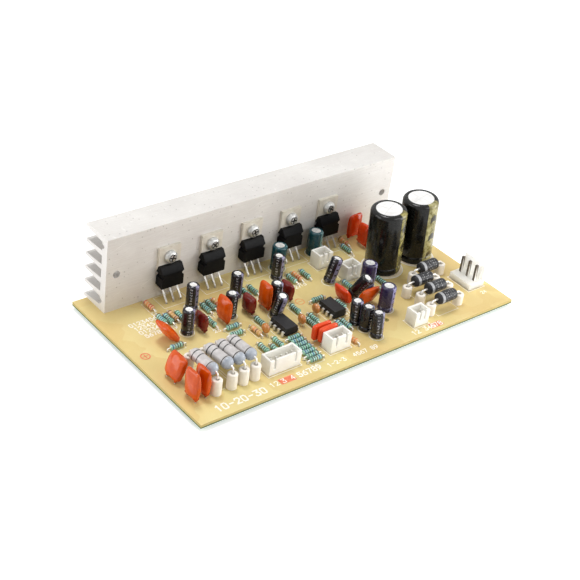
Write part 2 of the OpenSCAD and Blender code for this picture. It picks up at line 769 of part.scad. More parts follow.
circuit_board();
heatsink();
tab_screws();
for (i = [1 : chip_count])
    power_chip(i);
for (i = [1 : len(filter_places)])
    filter_capacitor(i);
for (i = [1 : len(signal_places)])
    signal_capacitor(i);
for (i = [1 : len(coupling_places)])
    coupling_capacitor(i);
for (i = [1 : len(film_places)])
    film_capacitor(i);
slim_capacitors();
ceramic_discs();
for (i = [1 : len(power_places)])
    power_resistor(i);
for (i = [1 : len(diode_places)])
    rectifier(i);
spacer_beads();
metal_film_resistors();
carbon_resistors();
for (i = [1 : len(dip_places)])
    preamp_chip(i);
for (i = [1 : len(plug_names)])
    signal_connector(i);
supply_connector();
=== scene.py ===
"""Looks of an audio amplifier board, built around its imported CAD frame.

Lengths are millimetres in the part's own frame: x along the connector edge, y towards the
heatsink, z up from the lowest lead tip. Places are measured from the frame's own solids.
"""

import logging
import math
import random
from dataclasses import dataclass, field
from enum import Enum
from typing import Callable, ClassVar, Iterable, Sequence

import bmesh
import bpy
import numpy as np
from mathutils import Matrix, Vector, noise


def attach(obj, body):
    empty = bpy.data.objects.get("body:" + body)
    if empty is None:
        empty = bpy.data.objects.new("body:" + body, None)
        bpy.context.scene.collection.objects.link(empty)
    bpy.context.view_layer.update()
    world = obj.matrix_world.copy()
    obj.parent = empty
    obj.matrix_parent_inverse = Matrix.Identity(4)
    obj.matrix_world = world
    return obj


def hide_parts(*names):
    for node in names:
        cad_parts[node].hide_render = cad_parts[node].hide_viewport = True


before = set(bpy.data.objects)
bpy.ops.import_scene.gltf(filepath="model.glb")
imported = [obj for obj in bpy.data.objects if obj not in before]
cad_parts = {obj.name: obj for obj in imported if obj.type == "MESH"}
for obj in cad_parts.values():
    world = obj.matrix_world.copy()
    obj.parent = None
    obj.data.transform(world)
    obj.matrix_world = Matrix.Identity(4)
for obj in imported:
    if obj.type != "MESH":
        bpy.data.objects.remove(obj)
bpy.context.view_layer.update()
MM = 0.001
BODY = "root"
LOG = logging.getLogger("amplifier_board")
Colour = tuple[float, float, float, float]
Socket = bpy.types.NodeSocket
Station = tuple[float, float, "Finish"]

# Points closer than this are one corner, in metres.
WELD_REACH = 1e-6
# A lead's end lies below this height, and its points lie within this reach of each other.
TIP_HEIGHT = 0.05
TIP_REACH = 1.2


def linear(code: str) -> Colour:
    """Turns a hex colour as seen on screen into linear light.

    Args:
        code: Six hex digits, such as "e0cd88".

    Returns:
        Red, green, blue and an alpha of one.
    """
    parts = [int(code[i:i + 2], 16) / 255 for i in (0, 2, 4)]
    light = [c / 12.92 if c <= 0.04045 else ((c + 0.055) / 1.055) ** 2.4 for c in parts]
    return (*light, 1.0)


class Coordinate(Enum):
    """Where a finish reads the place of a surface point from, in millimetres."""

    COMPONENT = "grain"
    FRAME = "frame"


class Net:
    """A node tree with short calls that make and join its nodes."""

    # The Mix node's colour sockets follow its number and vector ones.
    mix_first: int = 6
    mix_second: int = 7
    mix_result: int = 2

    def __init__(self, tree: bpy.types.NodeTree) -> None:
        """Keeps the tree that the calls work on."""
        self.tree = tree

    def node(self, kind: str, **settings: object) -> bpy.types.Node:
        """Adds one shader node.

        Args:
            kind: The node's type without its ShaderNode prefix.
            settings: Node properties to set.

        Returns:
            The new node.
        """
        made = self.tree.nodes.new("ShaderNode" + kind)
        for key, value in settings.items():
            setattr(made, key, value)
        return made

    def feed(self, target: Socket, source: object) -> None:
        """Links a socket into another, or sets a plain value on it.

        Args:
            target: The socket that takes the value.
            source: A socket or a plain value.
        """
        if isinstance(source, Socket):
            self.tree.links.new(source, target)
        else:
            target.default_value = source

    def math(self, operation: str, *values: object) -> Socket:
        """Adds a Math node.

        Args:
            operation: The node's operation.
            values: Sockets or numbers for its inputs.

        Returns:
            The result's socket.
        """
        made = self.node("Math", operation=operation)
        for target, value in zip(made.inputs, values):
            self.feed(target, value)
        return made.outputs[0]

    def vector(self, operation: str, *values: object) -> Socket:
        """Adds a Vector Math node.

        Args:
            operation: The node's operation.
            values: Sockets or plain values for its inputs.

        Returns:
            The result's socket.
        """
        made = self.node("VectorMath", operation=operation)
        second = made.inputs["Scale" if operation == "SCALE" else 1]
        for target, value in zip((made.inputs[0], second), values):
            self.feed(target, value)
        return made.outputs["Value" if operation in ("DOT_PRODUCT", "LENGTH") else 0]

    def remap(self, value: object, low: object, high: object, to_low: object, to_high: object) -> Socket:
        """Maps a value from one range to another, clamped.

        Args:
            value: The value to map.
            low: Start of its range.
            high: End of its range.
            to_low: What the start becomes.
            to_high: What the end becomes.

        Returns:
            The result's socket.
        """
        made = self.node("MapRange", clamp=True)
        for target, source in zip(made.inputs, (value, low, high, to_low, to_high)):
            self.feed(target, source)
        return made.outputs[0]

    def blend(self, share: object, low: object, high: object) -> Socket:
        """Mixes two colours by a share.

        Args:
            share: How much of the second colour shows.
            low: The first colour.
            high: The second colour.

        Returns:
            The mixed colour's socket.
        """
        made = self.node("Mix", data_type="RGBA")
        self.feed(made.inputs["Factor"], share)
        self.feed(made.inputs[self.mix_first], low)
        self.feed(made.inputs[self.mix_second], high)
        return made.outputs[self.mix_result]

    def noise(self, place: object, scale: object, detail: float = 3.0, rough: float = 0.55) -> Socket:
        """Adds a noise texture.

        Args:
            place: Where it is read.
            scale: Its frequency.
            detail: Its number of finer layers.
            rough: Strength of the finer layers.

        Returns:
            The value's socket.
        """
        made = self.node("TexNoise")
        for name, value in (("Vector", place), ("Scale", scale), ("Detail", detail), ("Roughness", rough)):
            self.feed(made.inputs[name], value)
        return made.outputs["Fac"]

    def parts(self, place: object) -> list[Socket]:
        """Splits a vector.

        Args:
            place: The vector.

        Returns:
            Its x, y and z sockets.
        """
        made = self.node("SeparateXYZ")
        self.feed(made.inputs[0], place)
        return list(made.outputs)

    def near(self, value: object, centre: object, half: object, soft: float) -> Socket:
        """Masks where a value lies within a distance of a centre, and returns the mask's socket."""
        gap = self.math("ABSOLUTE", self.math("SUBTRACT", value, centre))
        return self.remap(self.math("SUBTRACT", gap, half), -soft, soft, 1.0, 0.0)


class Kind(Enum):
    """What a node group's socket carries."""

    VECTOR = "NodeSocketVector"
    FLOAT = "NodeSocketFloat"
    COLOUR = "NodeSocketColor"


class Effect(Enum):
    """Shared surface effects, each one node group."""

    MOTTLE = "mottle"
    SMUDGE = "smudge"
    BRUSHED = "brushed"
    # An edge mask for wear and for painted highlights and shade along edges.
    EDGE_WEAR = "edge_wear"
    SPECKLE = "speckle"


class Effects:
    """Builds each shared effect's node group once and hands it out."""

    made: dict[Effect, bpy.types.NodeTree] = {}

    @classmethod
    def tree(cls, effect: Effect) -> bpy.types.NodeTree:
        """Gives an effect's node group, building it on first use.

        Args:
            effect: The effect wanted.

        Returns:
            Its node group.
        """
        if effect not in cls.made:
            cls.made[effect] = getattr(cls, effect.value)()
        return cls.made[effect]

    @staticmethod
    def start(
        name: str, inputs: dict[str, Kind], outputs: dict[str, Kind]
    ) -> tuple[Net, dict[str, Socket], dict[str, Socket]]:
        """Starts a node group with named sockets.

        Args:
            name: The group's name.
            inputs: What each input carries, by its name.
            outputs: What each output carries, by its name.

        Returns:
            The group's net, its input sockets and its output sockets.
        """
        tree = bpy.data.node_groups.new(name, "ShaderNodeTree")
        for label, kind in inputs.items():
            tree.interface.new_socket(label, in_out="INPUT", socket_type=kind.value)
        for label, kind in outputs.items():
            tree.interface.new_socket(label, in_out="OUTPUT", socket_type=kind.value)
        source = tree.nodes.new("NodeGroupInput")
        target = tree.nodes.new("NodeGroupOutput")
        return Net(tree), dict(source.outputs.items()), dict(target.inputs.items())

    @classmethod
    def mottle(cls) -> bpy.types.NodeTree:
        """Builds a colour that wanders between two shades.

        Returns:
            The node group.
        """
        net, given, out = cls.start(
            "Mottle",
            {"Vector": Kind.VECTOR, "Scale": Kind.FLOAT, "Contrast": Kind.FLOAT,
             "Low": Kind.COLOUR, "High": Kind.COLOUR},
            {"Color": Kind.COLOUR},
        )
        cloud = net.noise(given["Vector"], given["Scale"], 4.0, 0.6)
        low = net.math("SUBTRACT", 0.5, given["Contrast"])
        high = net.math("ADD", 0.5, given["Contrast"])
        share = net.remap(cloud, low, high, 0.0, 1.0)
        net.feed(out["Color"], net.blend(share, given["Low"], given["High"]))
        return net.tree

    @classmethod
    def smudge(cls) -> bpy.types.NodeTree:
        """Builds a value that wanders between two limits, with a fine height to go with it.

        Returns:
            The node group.
        """
        net, given, out = cls.start(
            "Smudge",
            {"Vector": Kind.VECTOR, "Scale": Kind.FLOAT, "Low": Kind.FLOAT,
             "High": Kind.FLOAT},
            {"Value": Kind.FLOAT, "Height": Kind.FLOAT},
        )
        cloud = net.noise(given["Vector"], given["Scale"], 5.0, 0.65)
        net.feed(out["Value"], net.remap(cloud, 0.3, 0.7, given["Low"], given["High"]))
        net.feed(out["Height"], cloud)
        return net.tree

    @classmethod
    def brushed(cls) -> bpy.types.NodeTree:
        """Builds long fine lines, as drawn metal has, along one direction.

        Returns:
            The node group.
        """
        net, given, out = cls.start(
            "Brushed",
            {"Vector": Kind.VECTOR, "Stretch": Kind.VECTOR, "Low": Kind.FLOAT,
             "High": Kind.FLOAT},
            {"Value": Kind.FLOAT, "Height": Kind.FLOAT},
        )
        drawn = net.vector("MULTIPLY", given["Vector"], given["Stretch"])
        lines = net.noise(drawn, 1.0, 4.0, 0.7)
        net.feed(out["Value"], net.remap(lines, 0.3, 0.7, given["Low"], given["High"]))
        net.feed(out["Height"], lines)
        return net.tree

    @classmethod
    def edge_wear(cls) -> bpy.types.NodeTree:
        """Builds a mask along sharp edges, broken up by a fine cloud; it carries worn edges, painted edge
        highlights and painted edge shade.

        Returns:
            The node group.
        """
        net, given, out = cls.start(
            "Edge wear",
            {"Vector": Kind.VECTOR, "Radius": Kind.FLOAT, "Amount": Kind.FLOAT},
            {"Mask": Kind.FLOAT},
        )
        rounded = net.node("Bevel", samples=4)
        net.feed(rounded.inputs["Radius"], given["Radius"])
        plain = net.node("NewGeometry")
        match = net.vector("DOT_PRODUCT", rounded.outputs[0], plain.outputs["Normal"])
        edge = net.remap(match, 0.8, 0.99, 1.0, 0.0)
        cloud = net.remap(net.noise(given["Vector"], 0.9, 5.0, 0.7), 0.35, 0.65, 0.2, 1.0)
        net.feed(out["Mask"], net.math("MULTIPLY", net.math("MULTIPLY", edge, cloud), given["Amount"]))
        return net.tree

    @classmethod
    def speckle(cls) -> bpy.types.NodeTree:
        """Builds scattered small specks, of which a share is kept.

        Returns:
            The node group.
        """
        net, given, out = cls.start(
            "Speckle",
            {"Vector": Kind.VECTOR, "Scale": Kind.FLOAT, "Size": Kind.FLOAT,
             "Share": Kind.FLOAT},
            {"Mask": Kind.FLOAT},
        )
        cells = net.node("TexVoronoi")
        net.feed(cells.inputs["Vector"], given["Vector"])
        net.feed(cells.inputs["Scale"], given["Scale"])
        spot = net.remap(cells.outputs["Distance"], given["Size"], 0.0, 0.0, 1.0)
        pick = net.parts(cells.outputs["Color"])[0]
        kept = net.math("LESS_THAN", pick, given["Share"])
        net.feed(out["Mask"], net.math("MULTIPLY", spot, kept))
        return net.tree


class Surface(Net):
    """A material's node tree, with its shader and its surface coordinate at hand."""

    def __init__(self, material: bpy.types.Material, coordinate: Coordinate) -> None:
        """Empties the material and adds its shader.

        Args:
            material: The material to fill.
            coordinate: Where the surface coordinate comes from.
        """
        super().__init__(material.node_tree)
        self.tree.nodes.clear()
        self.shader = self.node("BsdfPrincipled")
        target = self.node("OutputMaterial")
        self.tree.links.new(self.shader.outputs[0], target.inputs["Surface"])
        if coordinate is Coordinate.COMPONENT:
            self.place = self.node("Attribute", attribute_name=coordinate.value).outputs["Vector"]
        else:
            metres = self.node("TexCoord").outputs["Object"]
            self.place = self.vector("SCALE", metres, 1 / MM)

    def effect(self, effect: Effect, **values: object) -> dict[str, Socket]:
        """Places a shared effect with its own values.

        Args:
            effect: The effect wanted.
            values: Sockets or plain values by input name, with spaces as underscores.

        Returns:
            The effect's output sockets by name.
        """
        made = self.node("Group", node_tree=Effects.tree(effect))
        self.feed(made.inputs["Vector"], values.pop("Vector", self.place))
        for name, value in values.items():
            self.feed(made.inputs[name], value)
        return dict(made.outputs.items())

    def own(self) -> Socket:
        """Gives the place of a point within its own component, in millimetres."""
        return self.node("Attribute", attribute_name="local").outputs["Vector"]

    def blocks(self, feature: str, scale: float) -> bpy.types.Node:
        """Adds a flat pattern of squarish blocks.

        Args:
            feature: Which block the pattern's distance is measured to.
            scale: Blocks per millimetre.

        Returns:
            The pattern's node.
        """
        made = self.node("TexVoronoi", voronoi_dimensions="2D", feature=feature, distance="CHEBYCHEV")
        self.feed(made.inputs["Vector"], self.place)
        made.inputs["Scale"].default_value = scale
        return made

    def set(self, **values: object) -> None:
        """Feeds the shader's inputs by name, with spaces as underscores."""
        for name, value in values.items():
            self.feed(self.shader.inputs[name.replace("_", " ")], value)

    def bump(self, height: Socket, depth: float) -> None:
        """Raises the surface by a height.

        Args:
            height: The height's socket.
            depth: How far a height of one rises, in millimetres.
        """
        made = self.node("Bump")
        made.inputs["Strength"].default_value = 1.0
        made.inputs["Distance"].default_value = depth * MM
        self.feed(made.inputs["Height"], height)
        self.feed(self.shader.inputs["Normal"], made.outputs[0])


@dataclass(frozen=True)
class Finish:
    """A surface finish; its material is made once, on first use."""

    name: str
    low: str
    high: str
    rough: tuple[float, float] = (0.35, 0.5)
    scale: float = 0.5
    coordinate: Coordinate = Coordinate.COMPONENT
    gloss: float = 0.5

    def material(self) -> bpy.types.Material:
        """Gives the finish's material.

        Returns:
            The material, filled by the finish's own paint method.
        """
        found = bpy.data.materials.get(self.name)
        if found is None or not found.get("dressed"):
            found = bpy.data.materials.new(self.name)
            found.use_nodes = True
            found["dressed"] = True
            surface = Surface(found, self.coordinate)
            surface.set(Specular_IOR_Level=self.gloss)
            self.paint(surface)
        return found

    def base(self, surface: Surface, contrast: float = 0.2) -> Socket:
        """Gives the finish's wandering colour.

        Args:
            surface: The material being filled.
            contrast: How far the cloud is from its middle at either shade.

        Returns:
            The colour's socket.
        """
        return surface.effect(
            Effect.MOTTLE, Scale=self.scale, Contrast=contrast, Low=linear(self.low), High=linear(self.high)
        )["Color"]

    def sheen(self, surface: Surface, depth: float, scale: float) -> None:
        """Sets a wandering roughness and a fine unevenness.

        Args:
            surface: The material being filled.
            depth: Height of the unevenness in millimetres.
            scale: Its frequency per millimetre.
        """
        out = surface.effect(Effect.SMUDGE, Scale=scale, Low=self.rough[0], High=self.rough[1])
        surface.set(Roughness=out["Value"])
        if depth:
            surface.bump(out["Height"], depth)

    def paint(self, surface: Surface) -> None:
        """Fills the material: a plain mottled coat."""
        surface.set(Base_Color=self.base(surface))
        self.sheen(surface, 0.02, self.scale * 3)


@dataclass(frozen=True)
class Metal(Finish):
    """Bare metal with drawn lines."""

    stretch: tuple[float, float, float] = (2.0, 2.0, 2.0)
    metallic: float = 1.0

    def paint(self, surface: Surface) -> None:
        """Fills the material: brushed metal.

        Args:
            surface: The material being filled.
        """
        surface.set(Base_Color=self.base(surface), Metallic=self.metallic)
        lines = surface.effect(Effect.BRUSHED, Stretch=self.stretch, Low=self.rough[0], High=self.rough[1])
        surface.set(Roughness=lines["Value"])
        surface.bump(lines["Height"], 0.015)


@dataclass(frozen=True)
class SinkMetal(Metal):
    """Dull extruded aluminium with smudges, specks and scratches, and bright edges that are partly wear and
    partly a painted highlight.
    """

    def paint(self, surface: Surface) -> None:
        """Fills the material: handled aluminium.

        Args:
            surface: The material being filled.
        """
        lines = surface.effect(Effect.BRUSHED, Stretch=self.stretch, Low=self.rough[0], High=self.rough[1])
        clouds = surface.effect(Effect.SMUDGE, Scale=0.09, Low=0.0, High=0.6)["Value"]
        colour = surface.blend(clouds, self.base(surface, 0.25), linear("eeeeea"))
        drawn_in = surface.remap(lines["Height"], 0.4, 0.7, 0.0, 0.4)
        colour = surface.blend(drawn_in, colour, linear("bdb4ae"))
        stains = surface.effect(Effect.SMUDGE, Scale=0.045, Low=0.0, High=0.55)["Value"]
        colour = surface.blend(stains, colour, linear("bab4b0"))
        specks = surface.effect(Effect.SPECKLE, Scale=0.55, Size=0.2, Share=0.4)["Mask"]
        colour = surface.blend(surface.math("MULTIPLY", specks, 0.85), colour, linear("71675f"))
        skewed = surface.node("VectorRotate", rotation_type="EULER_XYZ")
        surface.feed(skewed.inputs["Vector"], surface.place)
        skewed.inputs["Rotation"].default_value = (0.0, math.radians(24), 0.0)
        drawn = surface.vector("MULTIPLY", skewed.outputs[0], (0.05, 0.4, 1.3))
        scratch = surface.remap(surface.noise(drawn, 1.0, 2.0, 0.5), 0.68, 0.72, 0.0, 0.35)
        colour = surface.blend(scratch, colour, linear("efedeb"))
        # Bright edges: partly wear, partly a painted highlight along the rims.
        wear = surface.effect(Effect.EDGE_WEAR, Radius=0.35 * MM, Amount=0.8)["Mask"]
        surface.set(Base_Color=surface.blend(wear, colour, linear("f4f3f1")), Metallic=self.metallic)
        surface.set(Roughness=lines["Value"])
        surface.bump(lines["Height"], 0.03)


@dataclass(frozen=True)
class Plastic(Finish):
    """Moulded plastic or glazed ceramic with a fine skin."""

    # Colour towards which the edges are painted paler, as a highlight; empty for none.
    wear: str = ""
    depth: float = 0.01
    coat: float = 0.0
    glow: float = 0.0
    reach: float = 1.5

    def paint(self, surface: Surface) -> None:
        """Fills the material: a moulded skin, painted paler along its edges as a highlight.

        Args:
            surface: The material being filled.
        """
        colour = self.base(surface)
        # Painted highlight: the edges are lightened towards this colour.
        if self.wear:
            mask = surface.effect(Effect.EDGE_WEAR, Radius=0.2 * MM, Amount=0.6)["Mask"]
            colour = surface.blend(mask, colour, linear(self.wear))
        surface.set(Base_Color=colour, Coat_Weight=self.coat, Subsurface_Weight=self.glow)
        surface.shader.inputs["Subsurface Radius"].default_value = (1.0, 1.0, 1.0)
        surface.shader.inputs["Subsurface Scale"].default_value = self.reach * MM
        self.sheen(surface, self.depth, 2.5)


@dataclass(frozen=True)
class Dipped(Finish):
    """Thick glossy dip coating, painted darker towards its edges as shade."""

    # Colour of the rounded edges, painted darker as shade; the specks use it too.
    edge: str = "000000"

    def paint(self, surface: Surface) -> None:
        """Fills the material: a wet-looking coat.

        Args:
            surface: The material being filled.
        """
        # Painted shade: the rounded edges are darkened towards the edge colour.
        mask = surface.effect(Effect.EDGE_WEAR, Radius=1.2 * MM, Amount=0.5)["Mask"]
        dots = surface.effect(Effect.SPECKLE, Scale=0.8, Size=0.16, Share=0.2)["Mask"]
        colour = surface.blend(mask, self.base(surface, 0.4), linear(self.edge))
        surface.set(Base_Color=surface.blend(surface.math("MULTIPLY", dots, 0.2), colour, linear(self.edge)))
        surface.set(Coat_Weight=0.6, Coat_Roughness=0.03)
        self.sheen(surface, 0.025, 0.7)


@dataclass(frozen=True)
class Sleeve(Finish):
    """Shrunk plastic sleeve with a polarity stripe and rows of small printed marks."""

    stripe: str = "8a86a0"
    fade: str = "6f6b86"
    mark: str = ""
    half: float = 0.38
    pitch: float = 2.6
    chevron: float = 0.0

    def paint(self, surface: Surface) -> None:
        """Fills the material: the sleeve, its stripe, the minus signs on it and the marks beside it.

        Args:
            surface: The material being filled.
        """
        x, y, z = surface.parts(surface.own())
        turn = surface.math("ARCTAN2", y, x)
        stripe = surface.near(turn, 0.0, self.half, 0.02)
        slope = surface.math("MULTIPLY", surface.math("ABSOLUTE", turn), self.chevron)
        step = surface.math("FRACT", surface.math("DIVIDE", surface.math("ADD", z, slope), self.pitch))
        sign = surface.math(
            "MULTIPLY", surface.near(turn, 0.0, self.half * 0.55, 0.02), surface.near(step, 0.5, 0.16, 0.03)
        )
        worn = surface.effect(
            Effect.MOTTLE, Scale=0.35, Contrast=0.12, Low=linear(self.fade), High=linear(self.stripe)
        )["Color"]
        colour = surface.blend(stripe, self.base(surface), worn)
        colour = surface.blend(surface.math("MULTIPLY", sign, 0.9), colour, linear(self.low))
        if self.mark:
            rows = surface.near(turn, -1.1, 0.2, 0.02)
            cell = surface.math("FRACT", surface.math("DIVIDE", z, self.pitch * 0.5))
            broken = surface.remap(surface.noise(surface.place, 1.9, 1.0), 0.46, 0.5, 0.0, 1.0)
            row = surface.math("MULTIPLY", rows, surface.near(cell, 0.5, 0.3, 0.05))
            marks = surface.math("MULTIPLY", surface.math("MULTIPLY", row, broken), 0.55)
            colour = surface.blend(marks, colour, linear(self.mark))
        surface.set(Base_Color=colour, Coat_Weight=0.35, Coat_Roughness=0.08)
        self.sheen(surface, 0.004, 0.8)


@dataclass(frozen=True)
class VentTop(Metal):
    """Bare aluminium can top with a pressed cross, its grooves painted darker as shade."""

    def paint(self, surface: Surface) -> None:
        """Fills the material: pale spun metal with two crossed grooves, which are dented and painted darker
        as shade.

        Args:
            surface: The material being filled.
        """
        x, y, _ = surface.parts(surface.own())
        groove = surface.math("MAXIMUM", surface.near(x, 0.0, 0.09, 0.05), surface.near(y, 0.0, 0.09, 0.05))
        # Painted shade: the grooves are darkened as well as dented.
        colour = surface.blend(surface.math("MULTIPLY", groove, 0.35), self.base(surface), linear("8e8c8a"))
        surface.set(Base_Color=colour, Metallic=self.metallic)
        cloud = surface.effect(Effect.SMUDGE, Scale=0.8, Low=self.rough[0], High=self.rough[1])
        surface.set(Roughness=cloud["Value"])
        surface.bump(surface.math("SUBTRACT", cloud["Height"], groove), 0.06)


@dataclass(frozen=True)
class Marked(Finish):
    """Dark moulded body with rows of small pale printed marks along its length."""

    mark: str = "c8c8c8"

    def paint(self, surface: Surface) -> None:
        """Fills the material: the body and its marks.

        Args:
            surface: The material being filled.
        """
        x, y, z = surface.parts(surface.own())
        turn = surface.math("ARCTAN2", y, x)
        row = surface.math("FRACT", surface.math("MULTIPLY", turn, 2.2))
        cell = surface.math("FRACT", surface.math("MULTIPLY", z, 0.9))
        middle = surface.near(z, 0.6, 2.3, 0.1)
        broken = surface.remap(surface.noise(surface.place, 1.6, 1.0), 0.5, 0.55, 0.0, 1.0)
        dash = surface.near(row, 0.5, 0.28, 0.06)
        marks = surface.math("MULTIPLY", dash, surface.near(cell, 0.5, 0.3, 0.06))
        marks = surface.math("MULTIPLY", surface.math("MULTIPLY", marks, broken), middle)
        colour = surface.blend(surface.math("MULTIPLY", marks, 0.5), self.base(surface), linear(self.mark))
        surface.set(Base_Color=colour)
        self.sheen(surface, 0.02, 1.6)


@dataclass(frozen=True)
class Laminate(Finish):
    """Tan paper laminate with the copper below it showing through as darker fields."""

    def paint(self, surface: Surface) -> None:
        """Fills the material: warm fields, faint copper lines and fine fibres.

        Args:
            surface: The material being filled.
        """
        pick = surface.parts(surface.blocks("F1", 0.11).outputs["Color"])[0]
        copper = surface.remap(pick, 0.55, 0.6, 0.0, 0.35)
        warm = surface.remap(surface.noise(surface.place, 0.022, 3.0), 0.42, 0.62, 0.0, 0.55)
        colour = surface.blend(copper, self.base(surface, 0.25), linear("c9a85e"))
        colour = surface.blend(warm, colour, linear("d0ae6a"))
        fibre = surface.effect(Effect.BRUSHED, Stretch=(0.6, 6.0, 1.0), Low=0.0, High=0.16)
        colour = surface.blend(fibre["Value"], colour, linear("f0e2b0"))
        dust = surface.effect(Effect.SPECKLE, Scale=0.5, Size=0.1, Share=0.25)["Mask"]
        surface.set(Base_Color=surface.blend(surface.math("MULTIPLY", dust, 0.35), colour, linear("a8864a")))
        surface.set(Coat_Weight=0.15)
        self.sheen(surface, 0.008, 1.0)


@dataclass(frozen=True)
class CutEdge(Finish):
    """Cut edge of the laminate, with the lacquer's dark line along its foot."""

    lacquer: str = "3f5a2c"
    line: float = 0.45

    def paint(self, surface: Surface) -> None:
        """Fills the material: sawn tan layers over a green line.

        Args:
            surface: The material being filled.
        """
        height = surface.parts(surface.place)[2]
        foot = surface.remap(height, BOARD_BOTTOM + self.line, BOARD_BOTTOM + self.line + 0.2, 1.0, 0.0)
        layers = surface.effect(Effect.BRUSHED, Stretch=(0.4, 0.4, 5.0), Low=0.0, High=0.5)["Value"]
        colour = surface.blend(layers, self.base(surface), linear("a98f50"))
        surface.set(Base_Color=surface.blend(foot, colour, linear(self.lacquer)))
        self.sheen(surface, 0.05, 1.5)


@dataclass(frozen=True)
class SolderMask(Finish):
    """Green lacquer over copper tracks on the underside."""

    def paint(self, surface: Surface) -> None:
        """Fills the material: paler where copper lies under the lacquer.

        Args:
            surface: The material being filled.
        """
        nearest, second = (surface.blocks(feature, 0.13).outputs["Distance"] for feature in ("F1", "F2"))
        gap = surface.math("SUBTRACT", second, nearest)
        copper = surface.remap(gap, 0.1, 0.13, 0.0, 1.0)
        colour = surface.blend(copper, self.base(surface), linear("4f8f45"))
        surface.set(Base_Color=colour, Coat_Weight=0.5)
        surface.bump(copper, 0.04)
        out = surface.effect(Effect.SMUDGE, Scale=1.0, Low=self.rough[0], High=self.rough[1])
        surface.set(Roughness=out["Value"])


TIN = Metal("Tinned wire", "d9d6d0", "eeece8", (0.25, 0.42), 0.9, metallic=0.6)
SOLDER = Metal("Solder", "b9b9ba", "dcdcdc", (0.2, 0.42), 1.2)
PIN_TIN = Metal("Tinned pin", "cfccc5", "e6e4de", (0.25, 0.42), 0.9, Coordinate.FRAME, metallic=0.4)
BRASS = Metal("Dull brass pin", "4f4a42", "7d7568", (0.3, 0.5), 0.7, Coordinate.FRAME, metallic=0.7)
TAB = Metal("Plated tab", "d0cabc", "e2ddd2", (0.35, 0.5), 0.5, Coordinate.FRAME,
            stretch=(0.4, 3.0, 3.0), metallic=0.3)
STEEL = Metal("Bright screw", "a6a6a3", "cbcbc8", (0.3, 0.42), 0.8, Coordinate.FRAME, metallic=0.6)
# Painted shade: the cross recess is painted dark, though it is the screw's own metal.
RECESS_SHADE = Plastic("Screw recess shade", "454442", "5c5b58", (0.5, 0.65), 0.8, Coordinate.FRAME)
ALUMINIUM = SinkMetal("Extruded aluminium", "d8d5d1", "e5e3df", (0.45, 0.62), 0.16, Coordinate.FRAME,
                      stretch=(0.12, 6.0, 6.0), metallic=0.25)
CAN_TOP = VentTop("Can top", "dedddb", "f4f3f1", (0.3, 0.5), 0.4, metallic=0.5)
BUNG = Plastic("Rubber bung", "1c1b1b", "282726", (0.6, 0.75))
# The moulds, connectors and beads below have edges painted paler as a highlight.
CHIP = Plastic("Chip mould", "0a0a0b", "111112", (0.4, 0.55), 0.8, Coordinate.FRAME,
               gloss=0.1, wear="303032", depth=0.02)
PREAMP = Plastic("Small chip mould", "1b1a1b", "262526", (0.42, 0.6), 0.8, Coordinate.FRAME,
                 gloss=0.25, wear="38383b", depth=0.02)
NYLON = Plastic("White nylon", "eeebe1", "f6f4ec", (0.35, 0.5), 0.3, Coordinate.FRAME,
                wear="ffffff", coat=0.1, glow=0.6, reach=3.0)
MILKY = Plastic("Milky nylon", "f4f0e4", "fbf9f2", (0.25, 0.4), 0.3, Coordinate.FRAME,
                wear="ffffff", glow=1.0, reach=6.0)
BEAD = Plastic("Glazed bead", "ebe3d6", "f6f0e6", (0.4, 0.6), 0.4, Coordinate.FRAME,
               wear="fffdf5", depth=0.02)
BLACK_SLEEVE = Sleeve("Black sleeve", "0c0b11", "15131b", (0.24, 0.3), 0.5, gloss=0.25, mark="c9c9d2")
VIOLET_SLEEVE = Sleeve("Violet sleeve", "241e3c", "322a4c", (0.24, 0.3), 0.5, gloss=0.3,
                       stripe="8f8bb5", fade="6d6896")
TEAL_SLEEVE = Sleeve("Teal sleeve", "0b3840", "124a52", (0.24, 0.3), 0.5, gloss=0.3,
                     stripe="7fa6a6", fade="5c8489")
FILTER_SLEEVE = Sleeve("Filter sleeve", "0b0b09", "131310", (0.24, 0.3), 0.3, gloss=0.15, stripe="b3ac7c",
                       fade="6b6431", half=0.44, pitch=9.0, chevron=4.0)
# A copy of the filter sleeve with a narrower, darker stripe, used for the first filter can.
DIM_SLEEVE = Sleeve("Darker filter sleeve", "0b0b09", "131310", (0.24, 0.3), 0.3, gloss=0.15, stripe="9a9050",
                    fade="2b2816", half=0.34, pitch=9.0, chevron=4.0)
ORANGE_DIP = Dipped("Orange dip", "b83802", "db5c0c", (0.2, 0.3), 0.35, gloss=0.05, edge="9c3006")
RED_DIP = Dipped("Dark red dip", "5c120d", "802216", (0.2, 0.3), 0.35, gloss=0.05, edge="3e0d0a")
SCARLET_DIP = Dipped("Scarlet dip", "c02c08", "de4810", (0.2, 0.3), 0.35, gloss=0.05, edge="8c180a")
SLIM_DIP = Dipped("Slim dip", "d43a12", "ea5828", (0.2, 0.3), 0.35, gloss=0.05, edge="a9280a")
OCHRE_DIP = Dipped("Ochre dip", "a8642a", "cf8a40", (0.25, 0.4), 0.5, edge="7d4718")
GREY_LACQUER = Plastic("Grey lacquer", "b0acaa", "cbc7c6", (0.3, 0.5), 0.6, depth=0.05, coat=0.3)
BLUE_GREY = Plastic("Blue grey lacquer", "939aa4", "adb3bb", (0.3, 0.5), 0.6, depth=0.05, coat=0.3)
RECTIFIER = Marked("Rectifier mould", "1d1d20", "2a2a2e", (0.35, 0.5), 0.8, gloss=0.3)
SILVER_BAND = Plastic("Silver band", "8f9093", "adaeb0", (0.35, 0.5), 1.0)
METAL_FILM = Plastic("Pale teal coat", "7db8a6", "a2d0bf", (0.25, 0.4), 0.9, depth=0.03, coat=0.4)
CARBON_FILM = Plastic("Tan coat", "c99863", "e0b888", (0.3, 0.45), 0.9, depth=0.03, coat=0.3)
